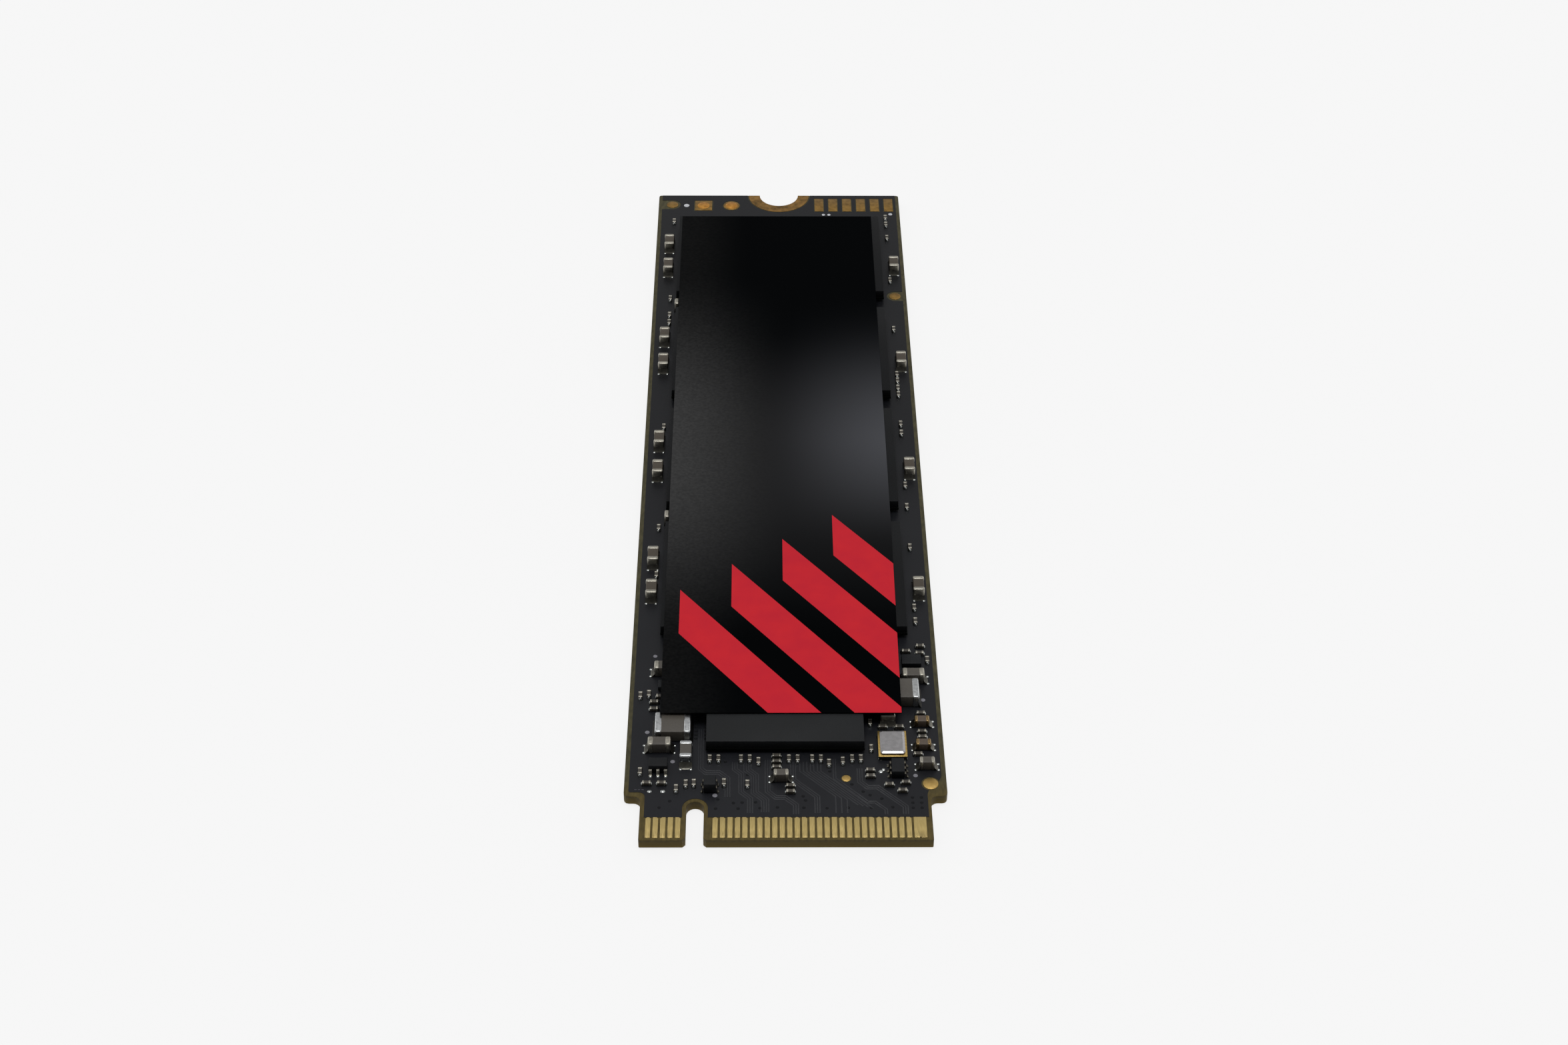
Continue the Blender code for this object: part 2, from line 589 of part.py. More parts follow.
def ball_package_mesh(name, width, depth, height):
    """A moulded package on a substrate, with solder balls fused underneath."""
    shape = bmesh.new()
    add_block(shape, (width, depth, height), (0.0, 0.0, BALL_HEIGHT + height / 2))
    ledge = BALL_HEIGHT + SUBSTRATE_HEIGHT
    for z in (ledge, ledge + SUBSTRATE_STEP):
        everything = shape.verts[:] + shape.edges[:] + shape.faces[:]
        bmesh.ops.bisect_plane(
            shape, geom=everything, plane_co=(0.0, 0.0, z), plane_no=(0.0, 0.0, 1.0))
    for vert in shape.verts:
        if vert.co.z > ledge + SUBSTRATE_STEP / 2:
            vert.co.x -= math.copysign(SUBSTRATE_STEP, vert.co.x)
            vert.co.y -= math.copysign(SUBSTRATE_STEP, vert.co.y)
    mesh = mesh_of(shape, name)
    balls = bmesh.new()
    tall = BALL_HEIGHT + EMBED
    for x in grid(width, BALL_MARGIN, BALL_PITCH):
        for y in grid(depth, BALL_MARGIN, BALL_PITCH):
            add_disc(balls, BALL_DIAMETER, tall, (x, y, tall / 2), BALL_SIDES)
    return mesh, mesh_of(balls, name + "_balls")


def make_ball_package(name, width, depth, place):
    """Place a package; its balls join it at the same place."""
    body, balls = ball_package_mesh(name, width, depth, CHIP_BODY_HEIGHT)
    package = add_part(name, body, MOULD, place)
    tool = add_tool(name + "_balls", balls)
    tool.location = place
    combine(package, tool, 'UNION')
    return package


def make_packages():
    front = CONTROLLER_FRONT + CONTROLLER_DEPTH / 2
    make_ball_package("controller_chip", CONTROLLER_WIDTH, CONTROLLER_DEPTH, (0.0, front, SEAT))
    for number in range(CHIP_COUNT):
        y = package_centre(number)
        name = "memory_chip_" + str(number + 1)
        make_ball_package(name, CHIP_WIDTH, CHIP_DEPTH, (0.0, y, SEAT))
        add_edge_capacitors(number, y)
        if number in GAP_CAPACITOR_CHIPS:
            add_gap_capacitor(GAP_CAPACITOR_CHIPS.index(number), y - CHIP_DEPTH / 2)


def add_edge_capacitors(number, centre):
    """Edge capacitors stand on both sides of each memory package."""
    left = -BOARD_WIDTH / 2 + LEFT_EDGE_INSET
    right = BOARD_WIDTH / 2 - RIGHT_EDGE_INSET
    sides = (("left", left, LEFT_EDGE_OFFSETS), ("right", right, RIGHT_EDGE_OFFSETS))
    for side, x, offsets in sides:
        for step, offset in enumerate(offsets):
            label = "edge_capacitor_" + side + "_" + str(number * len(offsets) + step + 1)
            mesh = terminal_chip_mesh(label, CASE_EDGE)
            add_part(label, mesh, CERAMIC, (x, centre + offset, SEAT), ALONG_Y)


def add_gap_capacitor(number, package_front):
    """A capacitor across the gap in front of a memory package."""
    label = "gap_capacitor_" + str(number + 1)
    place = (-BOARD_WIDTH / 2 + GAP_CAPACITOR_INSET, package_front - GAP_CAPACITOR_SETBACK, SEAT)
    add_part(label, terminal_chip_mesh(label, CASE_EDGE), CERAMIC, place, ALONG_X)


def make_label():
    """Thin sheet across the package tops, open to the controller's front."""
    left = -CHIP_WIDTH / 2 + LABEL_LEFT_INSET
    right = CHIP_WIDTH / 2 - LABEL_RIGHT_INSET
    front = CONTROLLER_FRONT + LABEL_FRONT_INSET
    rear = FIRST_CHIP_FRONT + MEMORY_ROW - LABEL_REAR_INSET
    r = LABEL_CORNER
    outline = arc((left + r, front + r), r, 180.0, 270.0, LABEL_ARC_STEPS)
    outline += arc((right - r, front + r), r, 270.0, 360.0, LABEL_ARC_STEPS)
    outline += arc((right - r, rear - r), r, 0.0, 90.0, LABEL_ARC_STEPS)
    outline += arc((left + r, rear - r), r, 90.0, 180.0, LABEL_ARC_STEPS)
    mesh = plate_mesh("label_sheet", outline, LABEL_THICKNESS)
    z = PACKAGE_TOP + LABEL_GAP + LABEL_THICKNESS / 2
    add_part("label_sheet", mesh, LABEL, (0.0, 0.0, z))


def make_terminal_parts():
    """Two-terminal parts at the connector end, larger ones first."""
    left = -BOARD_WIDTH / 2
    right = BOARD_WIDTH / 2
    for name, inset, along, turn, case in LEFT_PARTS:
        place = (left + inset, CONNECTOR_EDGE + along, SEAT)
        add_part(name, terminal_chip_mesh(name, case), CERAMIC, place, turn)
    for name, inset, along, turn, case in RIGHT_PARTS:
        place = (right - inset, CONNECTOR_EDGE + along, SEAT)
        add_part(name, terminal_chip_mesh(name, case), CERAMIC, place, turn)
    for name, x, along, turn, case in CENTRE_PARTS:
        place = (x, CONNECTOR_EDGE + along, SEAT)
        add_part(name, terminal_chip_mesh(name, case), CERAMIC, place, turn)
    small = terminal_chip_mesh("row_capacitor", CASE_SMALL)
    for number, (x, along, turn) in enumerate(ROW_PARTS):
        name = "row_capacitor_" + str(number + 1)
        add_part(name, small, CERAMIC, (x, CONNECTOR_EDGE + along, SEAT), turn)


def lead_outline(height):
    """Side view of a gull-wing lead: out of the body, down, and along the board."""
    t = LEAD_THICKNESS
    bend = LEAD_REACH - LEAD_FOOT
    return [
        (-EMBED, height), (bend / 2 + t / 2, height), (bend + t / 2, t), (LEAD_REACH, t),
        (LEAD_REACH, 0.0), (bend - t / 4, 0.0), (bend / 2 - t / 4, height - t),
        (-EMBED, height - t),
    ]


def make_leaded_package(name, size, leads, place, turn):
    """A small moulded package with gull-wing leads along two opposite sides."""
    width, depth, height, pitch = size
    shape = bmesh.new()
    middle = PACKAGE_STANDOFF + height / 2
    add_block(shape, (width, depth, height), (0.0, 0.0, middle))
    everything = shape.verts[:] + shape.edges[:] + shape.faces[:]
    bmesh.ops.bisect_plane(
        shape, geom=everything, plane_co=(0.0, 0.0, middle), plane_no=(0.0, 0.0, 1.0))
    for vert in shape.verts:
        if abs(vert.co.z - middle) > height / 4:
            vert.co.x -= math.copysign(MOULD_DRAFT, vert.co.x)
            vert.co.y -= math.copysign(MOULD_DRAFT, vert.co.y)
    body = mesh_of(shape, name)
    side_view = plate_mesh(name + "_lead", lead_outline(middle + LEAD_THICKNESS / 2), LEAD_WIDTH)
    stand_up = Matrix.Rotation(math.pi / 2, 4, 'X')
    wings = bmesh.new()
    for side in (0.0, math.pi):
        for number in range(leads):
            across = (number - (leads - 1) / 2) * pitch
            swing = Matrix.Rotation(side - math.pi / 2, 4, 'Z')
            lead = side_view.copy()
            lead.transform(Matrix.Translation((depth / 2 - MOULD_DRAFT / 2, across, 0.0)) @ stand_up)
            lead.transform(swing)
            wings.from_mesh(lead)
            bpy.data.meshes.remove(lead)
    bpy.data.meshes.remove(side_view)
    frame = Matrix.Translation(place) @ Matrix.Rotation(turn, 4, 'Z')
    package = add_part(name, body, MOULD, place, turn)
    tool = add_tool(name + "_leads", mesh_of(wings, name + "_leads"))
    tool.matrix_world = frame
    combine(package, tool, 'UNION')
    return package


def make_small_packages():
    left = -BOARD_WIDTH / 2
    right = BOARD_WIDTH / 2
    inset, along = REGULATOR_LEFT_PLACE
    place = (left + inset, CONNECTOR_EDGE + along, SEAT)
    make_leaded_package("regulator_left", REGULATOR_LEFT, REGULATOR_LEAD_COUNT, place, 0.0)
    inset, along = REGULATOR_RIGHT_PLACE
    place = (right - inset, CONNECTOR_EDGE + along, SEAT)
    make_leaded_package("regulator_right", REGULATOR_RIGHT, REGULATOR_LEAD_COUNT, place, ALONG_Y)
    inset, along = POWER_SWITCH_PLACE
    place = (left + inset, CONNECTOR_EDGE + along, SEAT)
    make_leaded_package("power_switch", POWER_SWITCH, SWITCH_LEAD_COUNT, place, ALONG_Y)
    inset, along = SENSOR_LEFT_PLACE
    place = (left + inset, CONNECTOR_EDGE + along, SEAT)
    make_leaded_package("temperature_sensor", SENSOR_LEFT, REGULATOR_LEAD_COUNT, place, 0.0)
    width, depth, height = CLOCK_BUFFER_SIZE
    shape = bmesh.new()
    add_block(shape, (width, depth, height), (0.0, 0.0, height / 2))
    inset, along = CLOCK_BUFFER_PLACE
    place = (right - inset, CONNECTOR_EDGE + along, SEAT)
    add_part("clock_buffer", mesh_of(shape, "clock_buffer"), MOULD, place)


def rounded_block_mesh(name, width, depth, height, corner, edge):
    """A block with rounded upright corners and, if asked, a bevelled top rim."""
    shape = bmesh.new()
    add_block(shape, (width, depth, height), (0.0, 0.0, height / 2))
    upright = []
    for item in shape.edges:
        low, high = item.verts
        if abs(low.co.z - high.co.z) > height / 2:
            upright.append(item)
    bmesh.ops.bevel(
        shape, geom=upright, offset=corner, segments=CRYSTAL_CORNER_SEGMENTS, profile=0.5,
        affect='EDGES', material=-1)
    if edge > 0.0:
        rim = [item for item in shape.edges if min(v.co.z for v in item.verts) > height / 2]
        bmesh.ops.bevel(
            shape, geom=rim, offset=edge, segments=CRYSTAL_RIM_SEGMENTS, profile=0.5,
            affect='EDGES', material=-1)
    return mesh_of(shape, name)


def make_crystal():
    x = BOARD_WIDTH / 2 - CRYSTAL_INSET
    y = CONNECTOR_EDGE + CRYSTAL_FROM_CONNECTOR
    base = rounded_block_mesh(
        "crystal_base", CRYSTAL_WIDTH, CRYSTAL_LENGTH, CRYSTAL_BASE_HEIGHT, CRYSTAL_TRAY_CORNER, 0.0)
    add_part("crystal_base", base, TRAY, (x, y, SEAT))
    width = CRYSTAL_WIDTH - 2 * CRYSTAL_LID_INSET
    length = CRYSTAL_LENGTH - 2 * CRYSTAL_LID_INSET
    lid = rounded_block_mesh(
        "crystal_lid", width, length, CRYSTAL_LID_HEIGHT, CRYSTAL_LID_CORNER, CRYSTAL_LID_BEVEL)
    add_part("crystal_lid", lid, LID, (x, y, SEAT + CRYSTAL_BASE_HEIGHT + CRYSTAL_SEAM_GAP))


clear_scene()
PARTS = new_collection(OBJECT_NAME)
TOOLS = new_collection("shaping_tools")
MASK = finish("solder_mask", (0.008, 0.009, 0.014), 0.42)
MOULD = finish("chip_mould", (0.012, 0.012, 0.013), 0.50)
LABEL = finish("label_film", (0.006, 0.006, 0.007), 0.35)
CERAMIC = finish("ceramic_capacitor", (0.34, 0.26, 0.19), 0.45)
TRAY = finish("crystal_tray", (0.55, 0.43, 0.20), 0.35, 0.6)
LID = finish("crystal_lid", (0.60, 0.58, 0.54), 0.30, 1.0)

make_board()
make_packages()
make_label()
make_terminal_parts()
make_small_packages()
make_crystal()
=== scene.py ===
# %% [markdown]
# # Dressing a gumstick solid state drive
#
# The measured model of the card is plain: every piece has its real size and place, but
# no finish. This lesson puts the looks on it, one kind of piece at a time: laminate,
# solder mask, gold contacts, chips, ceramic capacitors, a crystal and a thin label.
# The first cell loads the measured model, which stays fixed, and notes its size.

# %% Load the measured card
import math

import bmesh
import bpy
from mathutils import Matrix, Vector


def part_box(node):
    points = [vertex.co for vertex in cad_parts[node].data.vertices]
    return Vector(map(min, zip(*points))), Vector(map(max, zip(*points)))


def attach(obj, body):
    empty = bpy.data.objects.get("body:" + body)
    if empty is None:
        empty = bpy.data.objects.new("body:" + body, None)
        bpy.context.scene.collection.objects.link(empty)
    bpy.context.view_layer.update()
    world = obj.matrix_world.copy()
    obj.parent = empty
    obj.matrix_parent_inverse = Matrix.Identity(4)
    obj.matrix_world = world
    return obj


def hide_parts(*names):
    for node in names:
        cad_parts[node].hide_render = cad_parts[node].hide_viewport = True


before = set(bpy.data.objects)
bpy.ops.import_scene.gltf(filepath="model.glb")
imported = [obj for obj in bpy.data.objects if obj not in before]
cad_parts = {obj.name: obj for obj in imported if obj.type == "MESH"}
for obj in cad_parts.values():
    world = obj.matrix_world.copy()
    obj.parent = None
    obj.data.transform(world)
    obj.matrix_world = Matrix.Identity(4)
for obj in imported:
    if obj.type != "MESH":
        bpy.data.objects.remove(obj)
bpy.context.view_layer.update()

# %% [markdown]
# ## Millimetres for drawing, metres for the scene
#
# Blender works in metres, and this card is only 2 mm thick, so the numbers would all be
# tiny. The shapes are drawn in millimetres and made a thousand times smaller at the end.
# That also keeps the modelling tools away from distances too small for them.

# %% Places read from the measured card
MM = 0.001


def node_box(name):
    """Lowest and highest corner of one measured piece, in millimetres."""
    low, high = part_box(name)
    return Vector(low) / MM, Vector(high) / MM


board_low, board_high = node_box("circuit_board")
FRONT = board_low.y
REAR = board_high.y
HALF_WIDTH = board_high.x
# Heights over the underside: the laminate, and the copper on it that carries the parts
LAMINATE_LOW = 0.03
LAMINATE_TOP = 0.77
SEAT = 0.80
print("board: y from", round(FRONT, 2), "to", round(REAR, 2), "mm, x to", round(HALF_WIDTH, 2))

# %% [markdown]
# ## Small tools for shapes
#
# Almost every piece here is a block with softened edges, a flat plate or a disc. Each
# gets one small function that draws it with a bmesh operator, so a chip or a capacitor
# is then a few lines. A plain cube would do for the outline, but no real edge is sharp:
# the bevel is what catches the light along a chip or a metal end.

# %% Moving, stretching and turning a part
def move(part, step):
    bmesh.ops.translate(part, vec=step, verts=part.verts[:])


def stretch(part, factors):
    bmesh.ops.scale(part, vec=factors, verts=part.verts[:])


def turn(part, angle):
    """Turn a part about the upright line through the origin."""
    matrix = Matrix.Rotation(angle, 3, 'Z')
    bmesh.ops.rotate(part, cent=(0, 0, 0), matrix=matrix, verts=part.verts[:])


def face_outwards(part):
    bmesh.ops.recalc_face_normals(part, faces=part.faces[:])


# %% Bevels, extrusions and planes
def bevel(part, items, offset, segments=2, affect='EDGES'):
    """Round some edges of a part, or some of its corners."""
    bmesh.ops.bevel(
        part, geom=items, offset=offset, segments=segments, profile=0.5, affect=affect,
        material=-1)


def extrude(part, step):
    """Pull all faces of a flat part by a step, and give the corners that moved."""
    grown = bmesh.ops.extrude_face_region(part, geom=part.faces[:])
    moved = [item for item in grown["geom"] if isinstance(item, bmesh.types.BMVert)]
    bmesh.ops.translate(part, vec=step, verts=moved)
    return moved


def slice_along(part, place, direction, clear=False):
    """Cut a part along a plane, clear what lies beyond it if asked, and give the cut."""
    everything = part.verts[:] + part.edges[:] + part.faces[:]
    cut = bmesh.ops.bisect_plane(
        part, geom=everything, plane_co=place, plane_no=direction, clear_outer=clear)
    return [item for item in cut["geom_cut"] if isinstance(item, bmesh.types.BMEdge)]


# %% Blocks, discs, domes and plates
def softened_block(size, centre, edge=0.0, segments=2):
    """A block whose edges are rounded by a bevel."""
    part = bmesh.new()
    bmesh.ops.create_cube(part, size=1.0)
    stretch(part, size)
    if edge > 0.0:
        bevel(part, part.edges[:], edge, segments)
    move(part, centre)
    return part


def disc(radius, height, centre, sides=32, edge=0.0):
    """An upright round post, its top rim bevelled if asked."""
    part = bmesh.new()
    bmesh.ops.create_cone(
        part, cap_ends=True, segments=sides, radius1=radius, radius2=radius, depth=height)
    if edge > 0.0:
        bevel(part, [e for e in part.edges if min(v.co.z for v in e.verts) > 0.0], edge)
    move(part, centre)
    return part


def dome(radius, height, centre, sides=12):
    """A drop of solder: the upper half of a flattened ball."""
    part = bmesh.new()
    bmesh.ops.create_uvsphere(part, u_segments=sides, v_segments=8, radius=radius)
    rim = slice_along(part, (0, 0, 0), (0, 0, -1), clear=True)
    bmesh.ops.holes_fill(part, edges=rim)
    stretch(part, (1.0, 1.0, height / radius))
    move(part, centre)
    return part


def plate(corners, low, high, rounds=()):
    """A flat plate through some corners; rounds gives (x, y, radius, segments) for a few."""
    part = bmesh.new()
    part.faces.new([part.verts.new((x, y, low)) for x, y in corners])
    for x, y, radius, segments in rounds:
        place = Vector((x, y, low))
        nearest = min(part.verts, key=lambda vert: (vert.co - place).length)
        bevel(part, [nearest], radius, segments, 'VERTICES')
    extrude(part, (0, 0, high - low))
    return part


# %% Joining shapes and painting their faces
def mesh_of(shape, name="part"):
    """Make a mesh of a shape, which is used up."""
    mesh = bpy.data.meshes.new(name)
    shape.to_mesh(mesh)
    shape.free()
    return mesh


def join(shape, mesh):
    """Add a mesh, which is used up, to a shape."""
    shape.from_mesh(mesh)
    bpy.data.meshes.remove(mesh)
    return shape


def add_to(shape, part, paint=0):
    """Move a finished part into a shape; paint is the number of its material."""
    for face in part.faces:
        face.material_index = paint
    face_outwards(part)
    join(shape, mesh_of(part))


# %% Cutting one shape with another
# A cutter is this tall, so that it goes right through the card.
CUTTER_HEIGHT = 1.0


def in_scene(name, data):
    """Put a mesh, curve, lamp or camera into the scene."""
    item = bpy.data.objects.new(name, data)
    bpy.context.scene.collection.objects.link(item)
    return item


def shape_of(item):
    """The shape that an object has after its modifiers, or that a curve fills."""
    graph = bpy.context.evaluated_depsgraph_get()
    return join(bmesh.new(), bpy.data.meshes.new_from_object(item.evaluated_get(graph)))


def carve(shape, cutter):
    """Cut a closed shape out of another with an exact Boolean and give the result."""
    holders = []
    for part in (shape, cutter):
        face_outwards(part)
        holders.append(in_scene("carve", mesh_of(part)))
    step = holders[0].modifiers.new("carve", 'BOOLEAN')
    step.operation = 'DIFFERENCE'
    step.solver = 'EXACT'
    step.object = holders[1]
    result = shape_of(holders[0])
    for holder in holders:
        bpy.data.objects.remove(holder, do_unlink=True)
    return result


# %% From a shape to a piece of the scene
def make_piece(name, shape, materials, replaces=(), smooth=40.0):
    """Shrink a shape from millimetres to metres and let it ride on the card."""
    stretch(shape, (MM, MM, MM))
    mesh = mesh_of(shape, name)
    for material in materials:
        mesh.materials.append(material)
    mesh.shade_smooth()
    mesh.set_sharp_from_angle(angle=math.radians(smooth))
    piece = in_scene(name, mesh)
    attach(piece, "root")
    if replaces:
        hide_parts(*replaces)


# %% [markdown]
# ## Small tools for finishes
#
# A finish is a Principled shader whose colour, roughness and bump come from noise at the
# scale of the real surface. Photographs could be wrapped round the pieces instead, but
# noise has no seams and stays sharp when the camera comes close. Colours are written as
# they look on a screen, and one function turns them into the linear numbers of a shader.

# %% Colours and nodes
def linear(code):
    """Linear red, green, blue and alpha of a screen colour such as #27282c."""
    channels = [int(code[place:place + 2], 16) / 255 for place in (1, 3, 5)]
    light = [c / 12.92 if c <= 0.04045 else ((c + 0.055) / 1.055) ** 2.4 for c in channels]
    return light + [1.0]


def add_node(owner, kind, inputs, output=0, **options):
    """Add a node to a material or a world and give one of its outputs.

    An input is a number, a colour code, or another node's output to link.
    """
    item = owner.node_tree.nodes.new(kind)
    for option, choice in options.items():
        setattr(item, option, choice)
    for socket, value in inputs.items():
        if isinstance(value, bpy.types.NodeSocket):
            owner.node_tree.links.new(value, item.inputs[socket])
        elif isinstance(value, str):
            item.inputs[socket].default_value = linear(value)
        else:
            item.inputs[socket].default_value = value
    return item.outputs[output]


def wire(owner, source, socket, node="Principled BSDF"):
    """Link an output to a node that is there from the start, such as the shader."""
    owner.node_tree.links.new(source, owner.node_tree.nodes[node].inputs[socket])


# %% Patterns in object space
def grain(material, size, detail=3.0, squeeze=(1.0, 1.0, 1.0)):
    """Noise whose blotches are about size millimetres across; gives its output."""
    where = add_node(material, "ShaderNodeTexCoord", {}, "Object")
    scaled = add_node(material, "ShaderNodeMapping", {"Vector": where, "Scale": squeeze})
    return add_node(
        material, "ShaderNodeTexNoise",
        {"Vector": scaled, "Scale": 1.0 / (size * MM), "Detail": detail}, "Fac")


def along(material, axis, start, end):
    """A smooth ramp from 0 at start to 1 at end, in millimetres along one axis."""
    where = add_node(material, "ShaderNodeTexCoord", {}, "Object")
    place = add_node(material, "ShaderNodeSeparateXYZ", {"Vector": where}, axis)
    return add_node(
        material, "ShaderNodeMapRange",
        {"Value": place, "From Min": start * MM, "From Max": end * MM}, "Result",
        interpolation_type='SMOOTHSTEP')


def between(material, pattern, low, high):
    """Stretch the middle of a noise pattern to run from low to high."""
    return add_node(
        material, "ShaderNodeMapRange",
        {"Value": pattern, "From Min": 0.3, "From Max": 0.7, "To Min": low, "To Max": high},
        "Result")


def where_all(material, *patterns):
    """Full only where all of some patterns are: their product."""
    result = patterns[0]
    for pattern in patterns[1:]:
        result = add_node(
            material, "ShaderNodeMath", {0: result, 1: pattern}, operation='MULTIPLY')
    return result


# %% Colours over patterns
# A Mix node keeps its colours behind its numbers and vectors, in these sockets.
FIRST_COLOUR, SECOND_COLOUR, MIXED_COLOUR = 6, 7, 2


def layered(material, colour, *layers):
    """Lay colours over one another; a layer is its share, from 0 to 1, and its colour."""
    for share, over in layers:
        colour = add_node(
            material, "ShaderNodeMix",
            {0: share, FIRST_COLOUR: colour, SECOND_COLOUR: over}, MIXED_COLOUR,
            data_type='RGBA')
    return colour


def tones(material, pattern, dark, light, low=0.0, high=1.0):
    """Two tones of a colour, spread over a noise pattern."""
    return layered(material, dark, (between(material, pattern, low, high), light))


# %% Finishes
def new_finish(name, roughness, metallic=0.0, specular=0.5):
    """A material with its plain values set on the shader itself."""
    material = bpy.data.materials.new(name)
    material.use_nodes = True
    shader = material.node_tree.nodes["Principled BSDF"]
    shader.inputs["Roughness"].default_value = roughness
    shader.inputs["Metallic"].default_value = metallic
    if metallic == 0.0:
        shader.inputs["Specular IOR Level"].default_value = specular
    return material


def roughness_from(material, pattern, low, high):
    wire(material, between(material, pattern, low, high), "Roughness")


def bump_from(material, pattern, depth):
    """Let a pattern raise the surface by depth millimetres."""
    raised = {"Strength": 1.0, "Distance": depth * MM, "Height": pattern}
    wire(material, add_node(material, "ShaderNodeBump", raised, "Normal"), "Normal")


def mottled(name, roughness, size, dark, light, detail=3.0, share=(0.0, 1.0), spread=None,
            skin=None, depth=0.0, **plain):
    """A finish in blotches of two tones, size millimetres across.

    spread is the range of its roughness over them. The skin is raised by depth
    millimetres, by a grain of its own size or, where none is given, by the blotches.
    """
    material = new_finish(name, roughness, **plain)
    blotches = grain(material, size, detail)
    wire(material, tones(material, blotches, dark, light, *share), "Base Color")
    if spread:
        roughness_from(material, blotches, *spread)
    if depth > 0.0:
        bump_from(material, grain(material, skin) if skin else blotches, depth)
    return material


# %% [markdown]
# ## The finishes of a circuit board
#
# The core is woven glass in resin: olive, a little translucent, and browner at its front
# edge, where it turns lighter towards the underside. The solder mask is a thin
# black-grey lacquer over it. The contacts are nickel under hard gold, brushed lengthwise
# by the machine that plates them. The bare test pads have only a flash of gold, which
# ages to bronze.

# %% Laminate
# Woven glass in resin, routed to shape: olive with a faint weave, lighter towards the
# underside at the edge.
LAMINATE = new_finish("glass_laminate", 0.55, specular=0.2)
weave = grain(LAMINATE, 0.25, 4.0, (1.0, 0.35, 1.0))
plain_resin = tones(LAMINATE, weave, "#35321f", "#4b462e")
brown_resin = tones(LAMINATE, weave, "#413718", "#574a23")
# The resin looks browner round the contacts than along the sides.
at_front = along(LAMINATE, "Y", -33.5, -36.5)
by_length = layered(LAMINATE, plain_resin, (at_front, brown_resin))
# Seen from the side, the edge turns lighter towards the underside.
edge_upper_tone = layered(LAMINATE, "#5a4b1b", (along(LAMINATE, "Z", 0.42, 0.70), by_length))
edge_tone_by_height = layered(LAMINATE, edge_upper_tone, (along(LAMINATE, "Z", 0.34, 0.08), "#6c5a21"))
wire(LAMINATE, edge_tone_by_height, "Base Color")
bump_from(LAMINATE, weave, 0.01)
print("finish:", LAMINATE.name)

# %% Solder mask
# Solder mask is a lacquer cured under light: near black with a soft sheen, and so thin
# that its skin shows only the finest ripple.
MASK = new_finish("solder_mask", 0.40, specular=0.20)
cloudy = grain(MASK, 6.0)
fine = grain(MASK, 0.12)
# Painted light falloff: the lacquer is painted lighter near the connector and darker towards
# the rear.
lit_near_mask_tone = tones(MASK, cloudy, "#15161a", "#1b1c20")
shaded_far_mask_tone = tones(MASK, cloudy, "#0a0b0f", "#0e0f13")
mask_tone_with_painted_falloff = layered(MASK, lit_near_mask_tone, (along(MASK, "Y", -32.0, 20.0), shaded_far_mask_tone))
wire(MASK, mask_tone_with_painted_falloff, "Base Color")
roughness_from(MASK, fine, 0.32, 0.44)
bump_from(MASK, fine, 0.004)

# Lacquer drawn tight over copper lines: one shade lighter and a little glossier.
TRACE = mottled(
    "mask_over_copper", 0.36, 0.3, "#242528", "#2b2c2f", skin=0.08, depth=0.003,
    specular=0.25)

# Lacquer sunk into a drilled hole: duller and darker than round it.
VIA = mottled("tented_hole", 0.5, 0.1, "#0f1012", "#18191b", specular=0.08)
print("finishes:", MASK.name, TRACE.name, VIA.name)

# %% Gold, bronze and copper
# Hard gold over nickel, plated on a running belt: pale yellow with fine lengthwise
# streaks, duller at the tip where sockets have rubbed it. Real streaks are finer.
GOLD = new_finish("contact_gold", 0.34, metallic=1.0)
brushed = grain(GOLD, 0.5, 5.0, (14.0, 1.0, 1.0))
fresh = tones(GOLD, brushed, "#c2aa6c", "#d0ba7e")
worn = tones(GOLD, brushed, "#a28e5b", "#b29e6c")
wire(GOLD, layered(GOLD, fresh, (along(GOLD, "Y", -39.0, -39.6), worn)), "Base Color")
roughness_from(GOLD, brushed, 0.28, 0.42)
bump_from(GOLD, brushed, 0.002)

# Thin gold that solder paste has touched: orange and cloudy.
PAD_GOLD = mottled(
    "pad_gold", 0.40, 0.3, "#a9742f", "#d69c4a", skin=0.06, depth=0.003, metallic=1.0)

# A flash of gold over copper, aged in air: brown with lighter islands.
BRONZE = mottled(
    "aged_pad", 0.48, 0.45, "#745a30", "#9d7c44", 5.0, skin=0.1, depth=0.004, metallic=1.0)

# Plated copper under the screw head: blotchy, from dark brown to worn orange.
RING = mottled(
    "screw_ring_copper", 0.55, 0.6, "#5c4724", "#a07a42", 5.0, skin=0.2, depth=0.006,
    metallic=0.9)

# Immersion gold on a bare round pad: even, silky and without streaks.
FLAT_GOLD = mottled(
    "flat_pad_gold", 0.44, 0.35, "#aa8c51", "#bea062", 4.0, skin=0.06, depth=0.002,
    metallic=1.0)
print("finishes:", GOLD.name, PAD_GOLD.name, BRONZE.name, RING.name, FLAT_GOLD.name)

# %% White ink
# Screen-printed white ink: chalky and without gloss, greyer near the connector.
INK = new_finish("white_ink", 0.7, specular=0.2)
chalk = grain(INK, 0.1)
near_ink = tones(INK, chalk, "#6c6b72", "#86858b")
far_ink = tones(INK, chalk, "#a9abb0", "#c6c8cc")
wire(INK, layered(INK, near_ink, (along(INK, "Y", 0.0, 35.0), far_ink)), "Base Color")

# The same ink where the screen left little of it: a grey that sinks into the lacquer.
THIN_INK = mottled("thin_white_ink", 0.7, 0.1, "#454349", "#58565d", specular=0.2)
print("finishes:", INK.name, THIN_INK.name)

# %% [markdown]
# ## The laminate core
#
# The core is one plate with a keyed tongue at the connector end and half a screw hole at
# the other. It could be a box with pieces cut away, but the outline is simple: twelve
# corners go round it, and a vertex bevel rounds those that are round on the real card.
# Only the screw hole is cut, because it runs off the edge.

